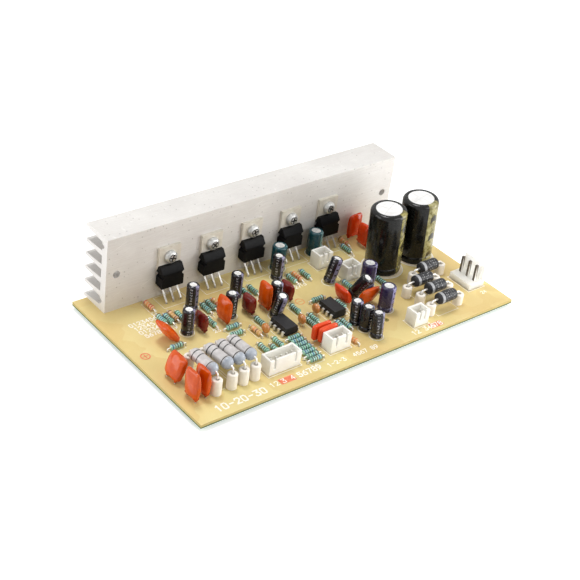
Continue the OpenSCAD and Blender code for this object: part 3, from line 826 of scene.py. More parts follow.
LAMINATE = Laminate("Tan laminate", "d5c37d", "dfce8f", (0.42, 0.6), 0.05, Coordinate.FRAME)
BOARD_EDGE = CutEdge("Board edge", "bba765", "cdb876", (0.6, 0.8), 0.9, Coordinate.FRAME)
MASK = SolderMask("Green lacquer", "2f6f33", "3a7d3b", (0.25, 0.4), 0.1, Coordinate.FRAME)
WHITE_PRINT = Plastic("White print", "efe9d8", "fbf8ee", (0.5, 0.7), 0.9, Coordinate.FRAME)
RED_PRINT = Plastic("Red print", "d5643f", "e58763", (0.5, 0.7), 0.9, Coordinate.FRAME)
CREAM_PRINT = Plastic("Cream print", "ecd9b4", "f6e8cc", (0.5, 0.7), 0.3, Coordinate.FRAME)
PAD = Plastic("Bare pad", "7d7336", "97854a", (0.4, 0.6), 0.9, Coordinate.FRAME)
ORANGE_PRINT = Plastic("Orange print", "d98d4a", "e6a864", (0.5, 0.7), 0.9, Coordinate.FRAME)


class Band(Enum):
    """Colours of the value rings on a resistor."""

    BLACK = "1b1a1a"
    BROWN = "5a2e1c"
    RED = "b3301f"
    ORANGE = "d9762a"
    GREEN = "2f6b46"
    BLUE = "24487a"
    GOLD = "b58a3c"

    def finish(self) -> Plastic:
        """Gives the ring's paint, a little paler in places.

        Returns:
            The paint.
        """
        paler = 14
        parts = [min(255, int(self.value[i:i + 2], 16) + paler) for i in (0, 2, 4)]
        pale = "".join(f"{part:02x}" for part in parts)
        return Plastic(f"Ring {self.name.lower()}", self.value, pale, (0.3, 0.45), 0.9, coat=0.3)


class CadNode:
    """Measures one node of the frame, in millimetres."""

    cap_reach: float = 4.0
    upward: float = 0.8
    in_plane: float = 0.999
    outward: tuple[float, float, float] = (0.3, 0.5, 0.8)

    def __init__(self, name: str) -> None:
        """Reads the node's mesh.

        Args:
            name: The node's name in the frame.
        """
        self.name = name
        self.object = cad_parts[name]
        mesh = self.object.data
        self.points = np.array([v.co for v in mesh.vertices], float).reshape(-1, 3) / MM

    @property
    def low(self) -> np.ndarray:
        """Lowest corner of the node's box."""
        return self.points.min(0)

    @property
    def high(self) -> np.ndarray:
        """Highest corner of the node's box."""
        return self.points.max(0)

    def islands(self) -> list[np.ndarray]:
        """Splits the node into its separate solids.

        Returns:
            The points of each solid, in the order in which they lie in the mesh.
        """
        work = bmesh.new()
        work.from_mesh(self.object.data)
        bmesh.ops.remove_doubles(work, verts=work.verts, dist=WELD_REACH)
        seen: set[int] = set()
        found = []
        work.verts.ensure_lookup_table()
        for start in work.verts:
            if start.index in seen:
                continue
            group, stack = [], [start]
            seen.add(start.index)
            while stack:
                vert = stack.pop()
                group.append(vert.co / MM)
                for edge in vert.link_edges:
                    other = edge.other_vert(vert)
                    if other.index not in seen:
                        seen.add(other.index)
                        stack.append(other)
            found.append(np.array(group, float))
        work.free()
        return found

    def tips(self) -> list[Vector]:
        """Finds where the node's leads end under the board."""
        return lead_tips(self.points)

    def cap(self) -> tuple[Vector, Vector]:
        """Finds the flat top of a standing can.

        Returns:
            The can's axis and the middle of its top rim.
        """
        roof = self.high[2] - self.cap_reach
        sides = self.object.data.polygons
        faces = [f for f in sides if f.center.z / MM > roof and f.normal.z > self.upward]
        axis = self.broad_normal(faces)
        flat = [f for f in faces if f.normal.dot(axis) > self.in_plane]
        middle = sum((f.center * f.area for f in flat), Vector()) / sum(f.area for f in flat) / MM
        reach = max(Vector(p).dot(axis) for p in self.points)
        return axis, middle + axis * (reach - middle.dot(axis))

    @classmethod
    def broad_normal(cls, faces: Iterable[bpy.types.MeshPolygon]) -> Vector:
        """Gives the direction in which most of the faces' area lies.

        Args:
            faces: Faces to weigh; opposite sides count together.

        Returns:
            The mean normal of the largest flat side.
        """
        totals: dict[tuple, Vector] = {}
        for face in faces:
            normal = face.normal if face.normal.dot(cls.outward) >= 0 else -face.normal
            key = tuple(round(c, 2) for c in normal)
            totals[key] = totals.get(key, Vector()) + normal * face.area
        return max(totals.values(), key=lambda total: total.length).normalized()


def lead_tips(points: np.ndarray) -> list[Vector]:
    """Finds the middle of each lead's lower end.

    Args:
        points: A solid's points in millimetres.

    Returns:
        One point a lead, from left to right and front to back.
    """
    low = [p for p in points if p[2] < TIP_HEIGHT]
    groups: list[list] = []
    for p in low:
        for group in groups:
            if math.hypot(p[0] - group[0][0], p[1] - group[0][1]) < TIP_REACH:
                group.append(p)
                break
        else:
            groups.append([p])
    middles = [Vector(np.mean(np.unique(np.round(g, 3), axis=0), axis=0)) for g in groups]
    return sorted(middles, key=lambda v: (round(v.x, 1), v.y))


BOARD_LOW, BOARD_HIGH = CadNode("circuit_board").low, CadNode("circuit_board").high
BOARD_TOP, BOARD_BOTTOM = float(BOARD_HIGH[2]), float(BOARD_LOW[2])


def soften(points: Sequence[tuple[float, ...]], times: int, closed: bool) -> list[tuple[float, ...]]:
    """Cuts the corners of a line again and again.

    Args:
        points: Corners of the line.
        times: How often every corner is cut.
        closed: Whether the line runs back to its start; an open one keeps its ends.

    Returns:
        The softened line.
    """
    for _ in range(times):
        ends = list(zip(points, [*points[1:], points[0]])) if closed else list(zip(points, points[1:]))
        cut = [
            tuple((1 - share) * a + share * b for a, b in zip(start, end))
            for start, end in ends for share in (0.25, 0.75)
        ]
        points = cut if closed else [points[0], *cut[1:-1], points[-1]]
    return list(points)


def circle(sides: int) -> list[float]:
    """Gives the turns of a round's corners in radians."""
    return [2 * math.pi * i / sides for i in range(sides)]


class Piece:
    """Gathers turned, swept and lofted surfaces into one mesh."""

    pattern_reach: float = 500.0

    def __init__(self, name: str, seed: int = 0) -> None:
        """Starts an empty piece.

        Args:
            name: The object's name.
            seed: Start of the piece's own random numbers.
        """
        self.name = name
        self.random = random.Random(f"{name} {seed}")
        self.points: list[Vector] = []
        self.local: list[Vector] = []
        self.grain: list[Vector] = []
        self.faces: list[list[int]] = []
        self.kinds: list[int] = []
        self.finishes: list[Finish] = []
        self.place(Matrix())

    def place(self, matrix: Matrix) -> None:
        """Starts a component at a place of its own, with its own patch of every pattern."""
        self.matrix = matrix
        self.offset = Vector(self.random.uniform(-self.pattern_reach, self.pattern_reach) for _ in range(3))

    def point(self, spot: Sequence[float]) -> int:
        """Adds a point.

        Args:
            spot: Its place in the component's own frame.

        Returns:
            The point's number.
        """
        here = Vector(spot)
        self.points.append(self.matrix @ here)
        self.local.append(here)
        self.grain.append(here + self.offset)
        return len(self.points) - 1

    def face(self, corners: list[int], finish: Finish) -> None:
        """Adds a face.

        Args:
            corners: Numbers of its points, anticlockwise from outside.
            finish: Its finish.
        """
        if finish not in self.finishes:
            self.finishes.append(finish)
        self.faces.append(corners)
        self.kinds.append(self.finishes.index(finish))

    def bridge(self, lower: list[int], upper: list[int], finish: Finish) -> None:
        """Joins two rings, or a ring and a single point, with faces.

        Args:
            lower: The ring or point that comes first along the axis.
            upper: The one that comes next.
            finish: Finish of the faces between them.
        """
        count = max(len(lower), len(upper))
        for i in range(count):
            j = (i + 1) % count
            if len(lower) == 1:
                self.face([lower[0], upper[j], upper[i]], finish)
            elif len(upper) == 1:
                self.face([lower[i], lower[j], upper[0]], finish)
            else:
                self.face([lower[i], lower[j], upper[j], upper[i]], finish)

    def lathe(self, stations: Sequence[Station], sides: int = 32) -> None:
        """Turns a profile about the component's z axis.

        Args:
            stations: Radius, height and the finish up to the next station, from the bottom up.
            sides: Number of sides of the round.
        """
        rings = []
        for r, z, _ in stations:
            spots = [(r * math.cos(t), r * math.sin(t), z) for t in circle(sides)] if r else [(0, 0, z)]
            rings.append([self.point(spot) for spot in spots])
        for lower, upper, station in zip(rings, rings[1:], stations):
            self.bridge(lower, upper, station[2])

    def tube(self, path: Sequence[Vector], radius: float, finish: Finish, sides: int = 10) -> None:
        """Sweeps a round wire along a path.

        Args:
            path: Points along the wire.
            radius: Its radius.
            finish: Its finish.
            sides: Number of sides of the round.
        """
        tangents = [(b - a).normalized() for a, b in zip(path, path[1:])]
        across = tangents[0].orthogonal().normalized()
        previous = [self.point(path[0])]
        for i, spot in enumerate(path):
            before, after = tangents[max(i - 1, 0)], tangents[min(i, len(tangents) - 1)]
            along = (before + after).normalized()
            across = (across - along * across.dot(along)).normalized()
            beside = along.cross(across)
            grow = radius / max(0.5, before.dot(along))
            round_about = [math.cos(t) * across + math.sin(t) * beside for t in circle(sides)]
            ring = [self.point(spot + grow * out) for out in round_about]
            self.bridge(previous, ring, finish)
            previous = ring
        self.bridge(previous, [self.point(path[-1])], finish)

    def pillow(self, half: Vector, slope: float, lumps: float, finish: Finish) -> None:
        """Lofts a dipped body with flat broad faces and sloped, softened edges, standing on its lower end.

        Args:
            half: Half width, half thickness and half height.
            slope: Share of the thickness left where the sloped edges end.
            lumps: Height of the unevenness.
            finish: Its finish.
        """
        flat, lump_scale = 0.44, 0.42
        quarter = [(1.0, 0.0), (1.0, slope * 0.6), (0.9, slope), (flat, 1.0)]
        upper = quarter + [(-x, y) for x, y in reversed(quarter)]
        section = soften(upper + [(-x, -y) for x, y in upper[1:-1]], 2, True)
        rise = soften([
            (0.0, 0.0, 0.0), (0.0, 0.62, 0.3), (0.1, 0.86, slope), (0.42, 1.0, 1.0), (1.4, 1.0, 1.0),
            (1.82, 0.98, slope), (2.0, 0.84, slope * 0.5), (2.0, 0.0, 0.0),
        ], 2, False)
        shift = self.offset * 0.01
        middle = Vector((0, 0, half.z))
        rings = []
        for level, wide, deep in rise:
            corners = section if wide else section[:1]
            ring = [Vector((half.x * wide * x, half.y * deep * y, half.z * level)) for x, y in corners]
            for spot in ring:
                bulge = noise.noise((spot + shift) * lump_scale) * lumps
                spot += (spot - middle).normalized() * (bulge - lumps * 0.5)
            rings.append([self.point(spot) for spot in ring])
        for lower, upper_ring in zip(rings, rings[1:]):
            self.bridge(lower, upper_ring, finish)

    def solder(self, tip: Vector, radius: float) -> None:
        """Adds the solder fillet where a lead leaves the board's underside.

        Args:
            tip: Lower end of the lead.
            radius: The lead's radius.
        """
        fillet, ring = 0.9, 0.55
        self.place(Matrix.Translation((tip.x, tip.y, BOARD_BOTTOM - fillet)))
        self.lathe([
            (radius * 0.9, 0.0, SOLDER),
            (radius + 0.1, 0.0, SOLDER),
            (radius + 0.16, fillet * 0.4, SOLDER),
            (radius + 0.3, fillet * 0.75, SOLDER),
            (radius + ring, fillet - 0.02, SOLDER),
            (radius * 0.9, fillet, SOLDER),
        ], 16)

    def straight_lead(self, tip: Vector, top: float, radius: float) -> None:
        """Adds an upright lead with its solder fillet.

        Args:
            tip: Its lower end.
            top: Height of its upper end.
            radius: Its radius.
        """
        self.place(Matrix())
        self.tube([Vector((tip.x, tip.y, 0)), Vector((tip.x, tip.y, top))], radius, TIN)
        self.solder(tip, radius)

    def build(self, slot: str, nodes: Iterable[str] = (), sharp: float = 40.0) -> bpy.types.Object:
        """Makes the object, sets it riding and lets it stand for its nodes.

        Args:
            slot: The record's material slot; not used.
            nodes: Nodes of the frame that the piece stands for.
            sharp: Angle in degrees above which an edge stays sharp.

        Returns:
            The finished object.
        """
        mesh = bpy.data.meshes.new(self.name)
        mesh.from_pydata([p * MM for p in self.points], [], self.faces)
        for finish in self.finishes:
            mesh.materials.append(finish.material())
        mesh.polygons.foreach_set("material_index", self.kinds)
        mesh.polygons.foreach_set("use_smooth", [True] * len(self.faces))
        for name, spots in (("local", self.local), ("grain", self.grain)):
            layer = mesh.attributes.new(name, "FLOAT_VECTOR", "POINT")
            layer.data.foreach_set("vector", np.array(spots, np.float32).ravel())
        mesh.set_sharp_from_angle(angle=math.radians(sharp))
        made = bpy.data.objects.new(self.name, mesh)
        bpy.context.scene.collection.objects.link(made)
        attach(made, BODY)
        if nodes:
            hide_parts(*nodes)
        LOG.info("%s: %d faces", self.name, len(self.faces))
        return made


def upright(origin: Vector, axis: Vector, facing: float) -> Matrix:
    """Builds the frame of a component that stands along an axis.

    Args:
        origin: Where the component stands.
        axis: Its upward direction.
        facing: Compass direction of its own x axis in degrees.

    Returns:
        A matrix from the component's own frame to the part's frame.
    """
    ahead = Vector((math.cos(math.radians(facing)), math.sin(math.radians(facing)), 0))
    z = axis.normalized()
    x = (ahead - z * ahead.dot(z)).normalized()
    y = z.cross(x)
    turned = Matrix((x, y, z)).transposed().to_4x4()
    return Matrix.Translation(origin) @ turned


class Dresser:
    """Gives carried-over CAD nodes their finishes, region by region."""

    bevel_steps: int = 2
    bevel_angle: float = 40.0
    split_angle: float = 48.0

    @classmethod
    def dress(cls, name: str, choose: Callable[[Vector, Vector], Finish], bevel: float, slot: str) -> None:
        """Assigns a finish to every face of a node and softens its edges.

        Args:
            name: The node's name.
            choose: Gives the finish for a face's middle in millimetres and its normal.
            bevel: Width of the softened edges in millimetres.
            slot: The record's material slot; not used.
        """
        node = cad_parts[name]
        mesh = node.data
        mesh.materials.clear()
        known: list[Finish] = []
        for face in mesh.polygons:
            finish = choose(face.center / MM, face.normal)
            if finish not in known:
                known.append(finish)
                mesh.materials.append(finish.material())
            face.material_index = known.index(finish)
            face.use_smooth = True
        if "custom_normal" in mesh.attributes:
            mesh.attributes.remove(mesh.attributes["custom_normal"])
        weld = node.modifiers.new("Weld", "WELD")
        weld.merge_threshold = WELD_REACH
        if bevel:
            soft = node.modifiers.new("Soft edges", "BEVEL")
            soft.width = bevel * MM
            soft.segments = cls.bevel_steps
            soft.limit_method = "ANGLE"
            soft.angle_limit = math.radians(cls.bevel_angle)
            soft.harden_normals = True
        split = node.modifiers.new("Sharp edges", "EDGE_SPLIT")
        split.split_angle = math.radians(cls.split_angle)
        LOG.info("%s: dressed", name)


DIGITS: dict[str, list[tuple[float, float]]] = {
    "0": [(0.2, 0), (0.8, 0), (1, 0.3), (1, 1.3), (0.8, 1.6), (0.2, 1.6), (0, 1.3), (0, 0.3), (0.2, 0)],
    "1": [(0.2, 1.3), (0.55, 1.6), (0.55, 0)],
    "2": [(0, 1.3), (0.2, 1.6), (0.8, 1.6), (1, 1.3), (1, 1), (0, 0), (1, 0)],
    "3": [(0, 1.6), (1, 1.6), (0.45, 0.95), (0.8, 0.95), (1, 0.7), (1, 0.25), (0.8, 0), (0.2, 0), (0, 0.25)],
    "4": [(0.75, 0), (0.75, 1.6), (0, 0.5), (1, 0.5)],
    "5": [(1, 1.6), (0.1, 1.6), (0.05, 0.9), (0.7, 1), (1, 0.75), (1, 0.25), (0.75, 0), (0.2, 0), (0, 0.25)],
    "6": [(0.9, 1.6), (0.3, 1.2), (0, 0.6), (0, 0.25), (0.2, 0), (0.8, 0), (1, 0.25), (1, 0.65), (0.8, 0.9),
          (0.2, 0.9), (0, 0.6)],
    "7": [(0, 1.6), (1, 1.6), (0.35, 0)],
    "8": [(0.2, 0.85), (0, 1.1), (0, 1.35), (0.2, 1.6), (0.8, 1.6), (1, 1.35), (1, 1.1), (0.8, 0.85),
          (0.2, 0.85), (0, 0.6), (0, 0.25), (0.2, 0), (0.8, 0), (1, 0.25), (1, 0.6), (0.8, 0.85)],
    "9": [(0.1, 0), (0.7, 0.4), (1, 1), (1, 1.35), (0.8, 1.6), (0.2, 1.6), (0, 1.35), (0, 0.95), (0.2, 0.7),
          (0.8, 0.7), (1, 1)],
    "-": [(0.1, 0.8), (0.9, 0.8)],
}


class Print(Piece):
    """Flat print that lies just above the board; places are from the board's front left corner."""

    lift: float = 0.01
    step: float = 0.001
    levels: int = 40
    drawn: int = 0
    overlap: float = 0.9
    sides: int = 40
    digit_height: float = 1.6
    digit_pitch: float = 1.55

    def spots(self, places: Iterable[tuple[float, float]]) -> list[int]:
        """Adds the points of one patch, at a level of its own so that crossings stay clean.

        Args:
            places: The patch's corners.

        Returns:
            The points' numbers.
        """
        self.drawn += 1
        height = BOARD_TOP + self.lift + self.step * (self.drawn % self.levels)
        return [self.point((float(BOARD_LOW[0]) + x, float(BOARD_LOW[1]) + y, height)) for x, y in places]

    def patch(self, corners: Sequence[tuple[float, float]], finish: Finish) -> None:
        """Fills an outline given anticlockwise."""
        self.face(self.spots(corners), finish)

    def line(self, path: Sequence[tuple[float, float]], width: float, finish: Finish) -> None:
        """Draws a band along a path.

        Args:
            path: Points along the band's middle.
            width: Width of the band.
            finish: Its finish.
        """
        for (ax, ay), (bx, by) in zip(path, path[1:]):
            along = Vector((bx - ax, by - ay)).normalized() * width / 2
            side = Vector((-along.y, along.x))
            start = Vector((ax, ay)) - along * self.overlap
            end = Vector((bx, by)) + along * self.overlap
            self.patch([tuple(c) for c in (start - side, end - side, end + side, start + side)], finish)

    def box(self, low: Sequence[float], high: Sequence[float], width: float, finish: Finish) -> None:
        """Draws a rectangle's outline."""
        (x0, y0), (x1, y1) = low[:2], high[:2]
        self.line([(x0, y0), (x1, y0), (x1, y1), (x0, y1), (x0, y0)], width, finish)

    def ring(self, middle: tuple[float, float], inner: float, outer: float, finish: Finish) -> None:
        """Draws a flat ring.

        Args:
            middle: Its middle.
            inner: Its inner radius.
            outer: Its outer radius.
            finish: Its finish.
        """
        rim = self.spots(
            (middle[0] + r * math.cos(t), middle[1] + r * math.sin(t))
            for r in (inner, outer) for t in circle(self.sides)
        )
        self.bridge(rim[self.sides:], rim[:self.sides], finish)

    def number(self, text: str, x: float, y: float, height: float, weight: float, finish: Finish) -> None:
        """Draws a row of digits.

        Args:
            text: Digits, minus signs and blanks.
            x: Left end of the row.
            y: Its foot.
            height: Height of a digit.
            weight: Width of the strokes as a share of the height.
            finish: Its finish.
        """
        unit = height / self.digit_height
        for i, mark in enumerate(text):
            left = x + i * self.digit_pitch * unit
            path = [(left + px * unit, y + py * unit) for px, py in DIGITS.get(mark, [])]
            self.line(path, height * weight, finish)


@dataclass
class Board:
    """The circuit board and the print on it."""

    thin: float = 0.2
    bold: float = 0.32
    resistor_box: tuple[float, float] = (3.4, 1.45)
    can_ring: tuple[float, float] = (0.25, 0.55)
    filter_rings: tuple[float, float, float] = (4.0, 8.7, 9.1)
    small_digit: float = 1.7
    digit_shift: tuple[float, float] = (0.4, 2.2)

    def build(self) -> None:
        """Dresses the board and prints its outlines."""
        def choose(middle: Vector, normal: Vector) -> Finish:
            """Picks the face, the lacquered underside or the edge.

            Args:
                middle: The face's middle; not used.
                normal: Its normal.

            Returns:
                Its finish.
            """
            if abs(normal.z) < 0.5:
                return BOARD_EDGE
            return LAMINATE if normal.z > 0 else MASK

        Dresser.dress("circuit_board", choose, 0.0, "board")
        ink = Print("board_print")
        self.print_cans(ink)
        self.print_boxes(ink)
        self.print_resistors(ink)
        self.print_numbers(ink)
        ink.build("board")

    @staticmethod
    def foot(points: np.ndarray) -> tuple[float, float]:
        """Finds the middle of a component's lead tips.

        Args:
            points: The component's points.

        Returns:
            The middle, from the board's front left corner.
        """
        tips = lead_tips(points)
        middle = sum(tips, Vector()) / len(tips)
        return middle.x - float(BOARD_LOW[0]), middle.y - float(BOARD_LOW[1])

    def print_cans(self, ink: Print) -> None:
        """Rings the standing cans, with a pale disc under each large one.

        Args:
            ink: The print to add them to.
        """
        for family, count, radius in (("signal", 12, 2.5), ("coupling", 4, 3.15)):
            for number in range(1, count + 1):
                middle = self.foot(CadNode(f"{family}_capacitor_{number}").points)
                ink.ring(middle, radius + self.can_ring[0], radius + self.can_ring[1], WHITE_PRINT)
        inner, outer, rim = self.filter_rings
        for number in (1, 2):
            middle = self.foot(CadNode(f"filter_capacitor_{number}").points)
            ink.ring(middle, inner, outer, CREAM_PRINT)
            ink.ring(middle, outer, rim, WHITE_PRINT)

    def print_boxes(self, ink: Print) -> None:
        """Draws the outlines of the chips, connectors and rectifiers.

        Args:
            ink: The print to add them to.
        """
        def around(name: str, side: float, front: float, back: float, width: float) -> None:
            """Draws a box round a node's own box.

            Args:
                name: The node's name.
                side: Margin to the left and right.
                front: Margin in front.
                back: Margin behind.
                width: Width of the line.
            """
            node = CadNode(name)
            low, high = (corner[:2] - BOARD_LOW[:2] for corner in (node.low, node.high))
            ink.box((low[0] - side, low[1] - front), (high[0] + side, high[1] + back), width, WHITE_PRINT)

        for number in range(1, 6):
            around(f"power_chip_{number}", 1.0, 1.9, -0.6, self.thin)
        for number in (1, 2):
            around(f"preamp_chip_{number}", 0.5, 0.6, 0.6, self.thin)
        for number in range(1, 5):
            around(f"rectifier_{number}", -3.2, 0.5, 0.5, self.thin)
            around(f"power_resistor_{number}", 0.3, -1.6, -1.6, self.thin)
        for name in ("speaker", "audio", "fan"):
            around(f"{name}_connector", 0.5, 0.6, 0.4, self.bold)
        for name in ("aux_connector_1", "aux_connector_2", "supply_connector"):
            around(name, 0.5, 0.5, 0.5, self.bold)

    def print_resistors(self, ink: Print) -> None:
        """Boxes the small resistors and numbers them on one side.

        Args:
            ink: The print to add them to.
        """
        long, short = self.resistor_box
        left, below = self.digit_shift
        for name in ("metal_film_resistors", "carbon_resistors"):
            for number, island in enumerate(CadNode(name).islands(), 11):
                first, last = lead_tips(island)
                lies = abs(last.x - first.x) > abs(last.y - first.y)
                half = (long, short) if lies else (short, long)
                x, y = self.foot(island)
                ink.box((x - half[0], y - half[1]), (x + half[0], y + half[1]), self.thin, WHITE_PRINT)
                if number % 2:
                    corner = (x - half[0] - left, y - half[1] - below)
                    ink.number(str(number), *corner, self.small_digit, 0.2, WHITE_PRINT)

    def print_numbers(self, ink: Print) -> None:
        """Prints plain numbers and marks along the front edge and between the parts.

        Args:
            ink: The print to add them to.
        """
        for low, high in (((39.4, 3.6), (46.4, 6.8)), ((114.8, 1.6), (121.6, 4.6))):
            ink.drawn = 0
            ink.patch([low, (high[0], low[1]), high, (low[0], high[1])], RED_PRINT)
        for text, x, y, height, weight in (
            ("10-20-30", 9.8, 3.0, 3.0, 0.2), ("12", 35.2, 4.2, 2.2, 0.15), ("3 4", 40.6, 4.2, 2.2, 0.15),
            ("56789", 48.2, 4.0, 2.4, 0.2), ("1-2-3  4567 89", 62.0, 3.2, 1.9, 0.19),
            ("12 345", 105.4, 2.0, 2.2, 0.19), ("678", 115.6, 2.0, 2.2, 0.19), ("24", 152.0, 9.4, 1.6, 0.17),
            ("0123456", 10.4, 60.6, 1.9, 0.2), ("12345", 11.0, 57.8, 1.9, 0.2),
            ("01234", 11.4, 55.0, 1.9, 0.2), ("5678", 12.2, 52.2, 1.9, 0.2),
        ):
            ink.drawn = 1
            ink.number(text, x, y, height, weight, WHITE_PRINT)
        ink.ring((5.2, 42.8), 1.5, 2.0, RED_PRINT)
        ink.line([(4.2, 42.8), (6.2, 42.8)], 0.4, RED_PRINT)
        ink.line([(5.2, 41.8), (5.2, 43.8)], 0.4, RED_PRINT)
        ink.ring((79.4, 42.6), 1.6, 2.1, ORANGE_PRINT)
        ink.line([(78.4, 42.6), (80.4, 42.6)], 0.4, ORANGE_PRINT)
        ink.ring((102.3, 15.5), 0.45, 1.2, PAD)


@dataclass
class Heatsink:
    """The finned heatsink, its chips and their screws."""

    chips: int = 5
    tab_depth: float = 1.3
    body_low: float = 6.0
    body_high: float = 15.2
    recess_reach: float = 1.7
    recess_depth: float = 1.6
    tab_overlap: float = 0.9
    slack: float = 0.05
    sink_edge: float = 0.25
    chip_edge: float = 0.1

    def build(self) -> None:
        """Dresses the heatsink, the chips and the screws."""
        Dresser.dress("heatsink", lambda middle, normal: ALUMINIUM, self.sink_edge, "heatsink")
        Dresser.dress("tab_screws", self.screw_face(), 0.0, "screw")
        for number in range(1, self.chips + 1):
            self.dress_chip(CadNode(f"power_chip_{number}"))

    def screw_face(self) -> Callable[[Vector, Vector], Finish]:
        """Tells a screw's bright head from its cross recess, which is painted dark as shade.

        Returns:
            The choice of a finish for a face's middle and normal.
        """
        screws = CadNode("tab_screws")
        heads = [Vector((island.min(0) + island.max(0)) / 2) for island in screws.islands()]
        front = float(screws.low[1])

        def choose(middle: Vector, normal: Vector) -> Finish:
            """Picks the recess, painted dark as shade, by its depth near the screw's axis.

            Args:
                middle: The face's middle.
                normal: Its normal; not used.

            Returns:
                Its finish.
            """
            head = min(heads, key=lambda spot: abs(spot.x - middle.x))
            inside = math.hypot(middle.x - head.x, middle.z - head.z) < self.recess_reach
            deep = front + self.slack < middle.y < front + self.recess_depth
            return RECESS_SHADE if inside and deep else STEEL

        return choose

    def dress_chip(self, node: CadNode) -> None:
        """Splits a chip into its mould, its tab and its leads.

        Args:
            node: The chip's solid.
        """
        back = float(node.high[1])
        low, high = BOARD_TOP + self.body_low, BOARD_TOP + self.body_high

        def choose(middle: Vector, normal: Vector) -> Finish:
            """Picks lead, tab or mould by place.

            Args:
                middle: The face's middle.
                normal: Its normal.

            Returns:
                Its finish.
            """
            if middle.z < BOARD_BOTTOM:
                return SOLDER if abs(normal.z) > 0.1 else PIN_TIN
            if middle.z < low - self.slack:
                return PIN_TIN
            on_tab = middle.y > back - self.tab_depth - 0.02 and middle.z > high - self.tab_overlap
            return TAB if on_tab else CHIP

        Dresser.dress(node.name, choose, self.chip_edge, "chip_black")


@dataclass
class Can:
    """A family of standing electrolytic capacitors of one size."""

    family: str
    count: int
    diameter: float
    height: float
    wire: float
    rim: float
    sleeves: dict[int, Sleeve]
    slots: dict[int, str]
    facings: tuple[float, ...] = (-98.0, -52.0, -76.0, -30.0, -62.0)
    groove: float = 0.3
    sides: int = 48

    def profile(self, sleeve: Sleeve) -> list[Station]:
        """Gives the can's outline from its bung to the middle of its top.

        Args:
            sleeve: Finish of the sleeve.

        Returns:
            Stations for the lathe.
        """
        r, h, rim, dent = self.diameter / 2, self.height, self.rim, self.groove
        waist = 1 + self.diameter * 0.1 + dent
        soft = [(r - rim * 0.7 * (1 - math.cos(a)), h - rim * 0.8 * (1 - math.sin(a)), sleeve)
                for a in (math.radians(d) for d in (0, 25, 50, 70, 90))]
        return [
            (0, 0.3, BUNG), (r * 0.7, 0.3, BUNG), (r * 0.72, 0.06, sleeve), (r * 0.78, 0, sleeve),
            (r - 0.25, 0, sleeve), (r - 0.07, 0.08, sleeve), (r, 0.3, sleeve),
            (r, waist - dent * 1.6, sleeve), (r - dent * 0.6, waist - dent * 0.6, sleeve),
            (r - dent, waist, sleeve),
            (r - dent * 0.6, waist + dent * 0.6, sleeve), (r, waist + dent * 1.6, sleeve),
            (r, h * 0.5, sleeve), *soft, (r - rim, h - 0.02, sleeve), (r - rim * 1.06, h - 0.16, CAN_TOP),
            (r - rim * 1.15, h - 0.2, CAN_TOP), (r * 0.4, h - 0.2, CAN_TOP), (0, h - 0.2, CAN_TOP),
        ]

    def build(self) -> None:
        """Makes every can of the family where its solid stands."""
        for number in range(1, self.count + 1):
            node = CadNode(f"{self.family}_{number}")
            axis, top = node.cap()
            piece = Piece(f"{self.family}_{number}_sleeved")
            facing = self.facings[number % len(self.facings)]
            piece.place(upright(top - axis * self.height, axis, facing))
            piece.lathe(self.profile(self.sleeves.get(number, self.sleeves[0])), self.sides)
            lead_top = BOARD_TOP + self.diameter * 0.12 + 0.4
            for tip in node.tips():
                piece.straight_lead(tip, lead_top, self.wire)
            piece.build(self.slots.get(number, self.slots[0]), [node.name])


@dataclass
class FilmCapacitors:
    """The dipped film capacitors, each with a soft lumpy body on two leads."""

    count: int = 13
    lift: float = 0.8
    wire: float = 0.28
    slope: float = 0.62
    lumps: float = 0.3
    knee: float = 0.15
    body_start: float = 1.0
    sharp: float = 60.0
    reds: tuple[int, ...] = (5, 7, 9)
    scarlets: tuple[int, ...] = (10, 12, 13)

    def build(self) -> None:
        """Makes every film capacitor in its solid's place and size."""
        for number in range(1, self.count + 1):
            self.build_one(number, CadNode(f"film_capacitor_{number}"))

    def build_one(self, number: int, node: CadNode) -> None:
        """Measures one solid and lofts its dipped body.

        Args:
            number: The capacitor's number.
            node: Its solid.
        """
        left, right = node.tips()
        width_way = (right - left).normalized()
        face = node.broad_normal(node.object.data.polygons)
        up = face.cross(width_way)
        up = up if up.z > 0 else -up
        foot = (left + right) / 2 + Vector((0, 0, BOARD_TOP))
        body = [Vector(p) - foot for p in node.points if p[2] > BOARD_TOP + self.body_start]
        half = Vector((
            max(abs(p.dot(width_way)) for p in body),
            max(abs(p.dot(face)) for p in body),
            (max(p.dot(up) for p in body) - self.lift) / 2,
        ))
        red = number in (*self.reds, *self.scarlets)
        finish = RED_DIP if red else ORANGE_DIP
        if number in self.scarlets:
            finish = SCARLET_DIP
        piece = Piece(f"film_capacitor_{number}_dipped")
        depth = up.cross(width_way)
        turned = Matrix((width_way, depth, up)).transposed().to_4x4()
        piece.place(Matrix.Translation(foot + up * self.lift) @ turned)
        piece.pillow(half, self.slope, self.lumps, finish)
        for tip in (left, right):
            base = Vector((tip.x, tip.y, 0))
            knee = Vector((tip.x, tip.y, BOARD_TOP + self.knee))
            piece.place(Matrix())
            piece.tube([base, knee, knee + up * (self.lift + 1.2)], self.wire, TIN)
            piece.place(Matrix.Translation(knee + up * 0.2) @ turned)
            piece.lathe([
                (0, 0, finish), (self.wire + 0.06, 0, finish), (self.wire + 0.2, 0.35, finish),
                (self.wire + 0.55, 0.9, finish), (self.wire + 0.9, 1.5, finish), (0, 1.9, finish),
            ], 18)
            piece.solder(base, self.wire)
        piece.build("film_red" if red else "film_orange", [node.name], self.sharp)


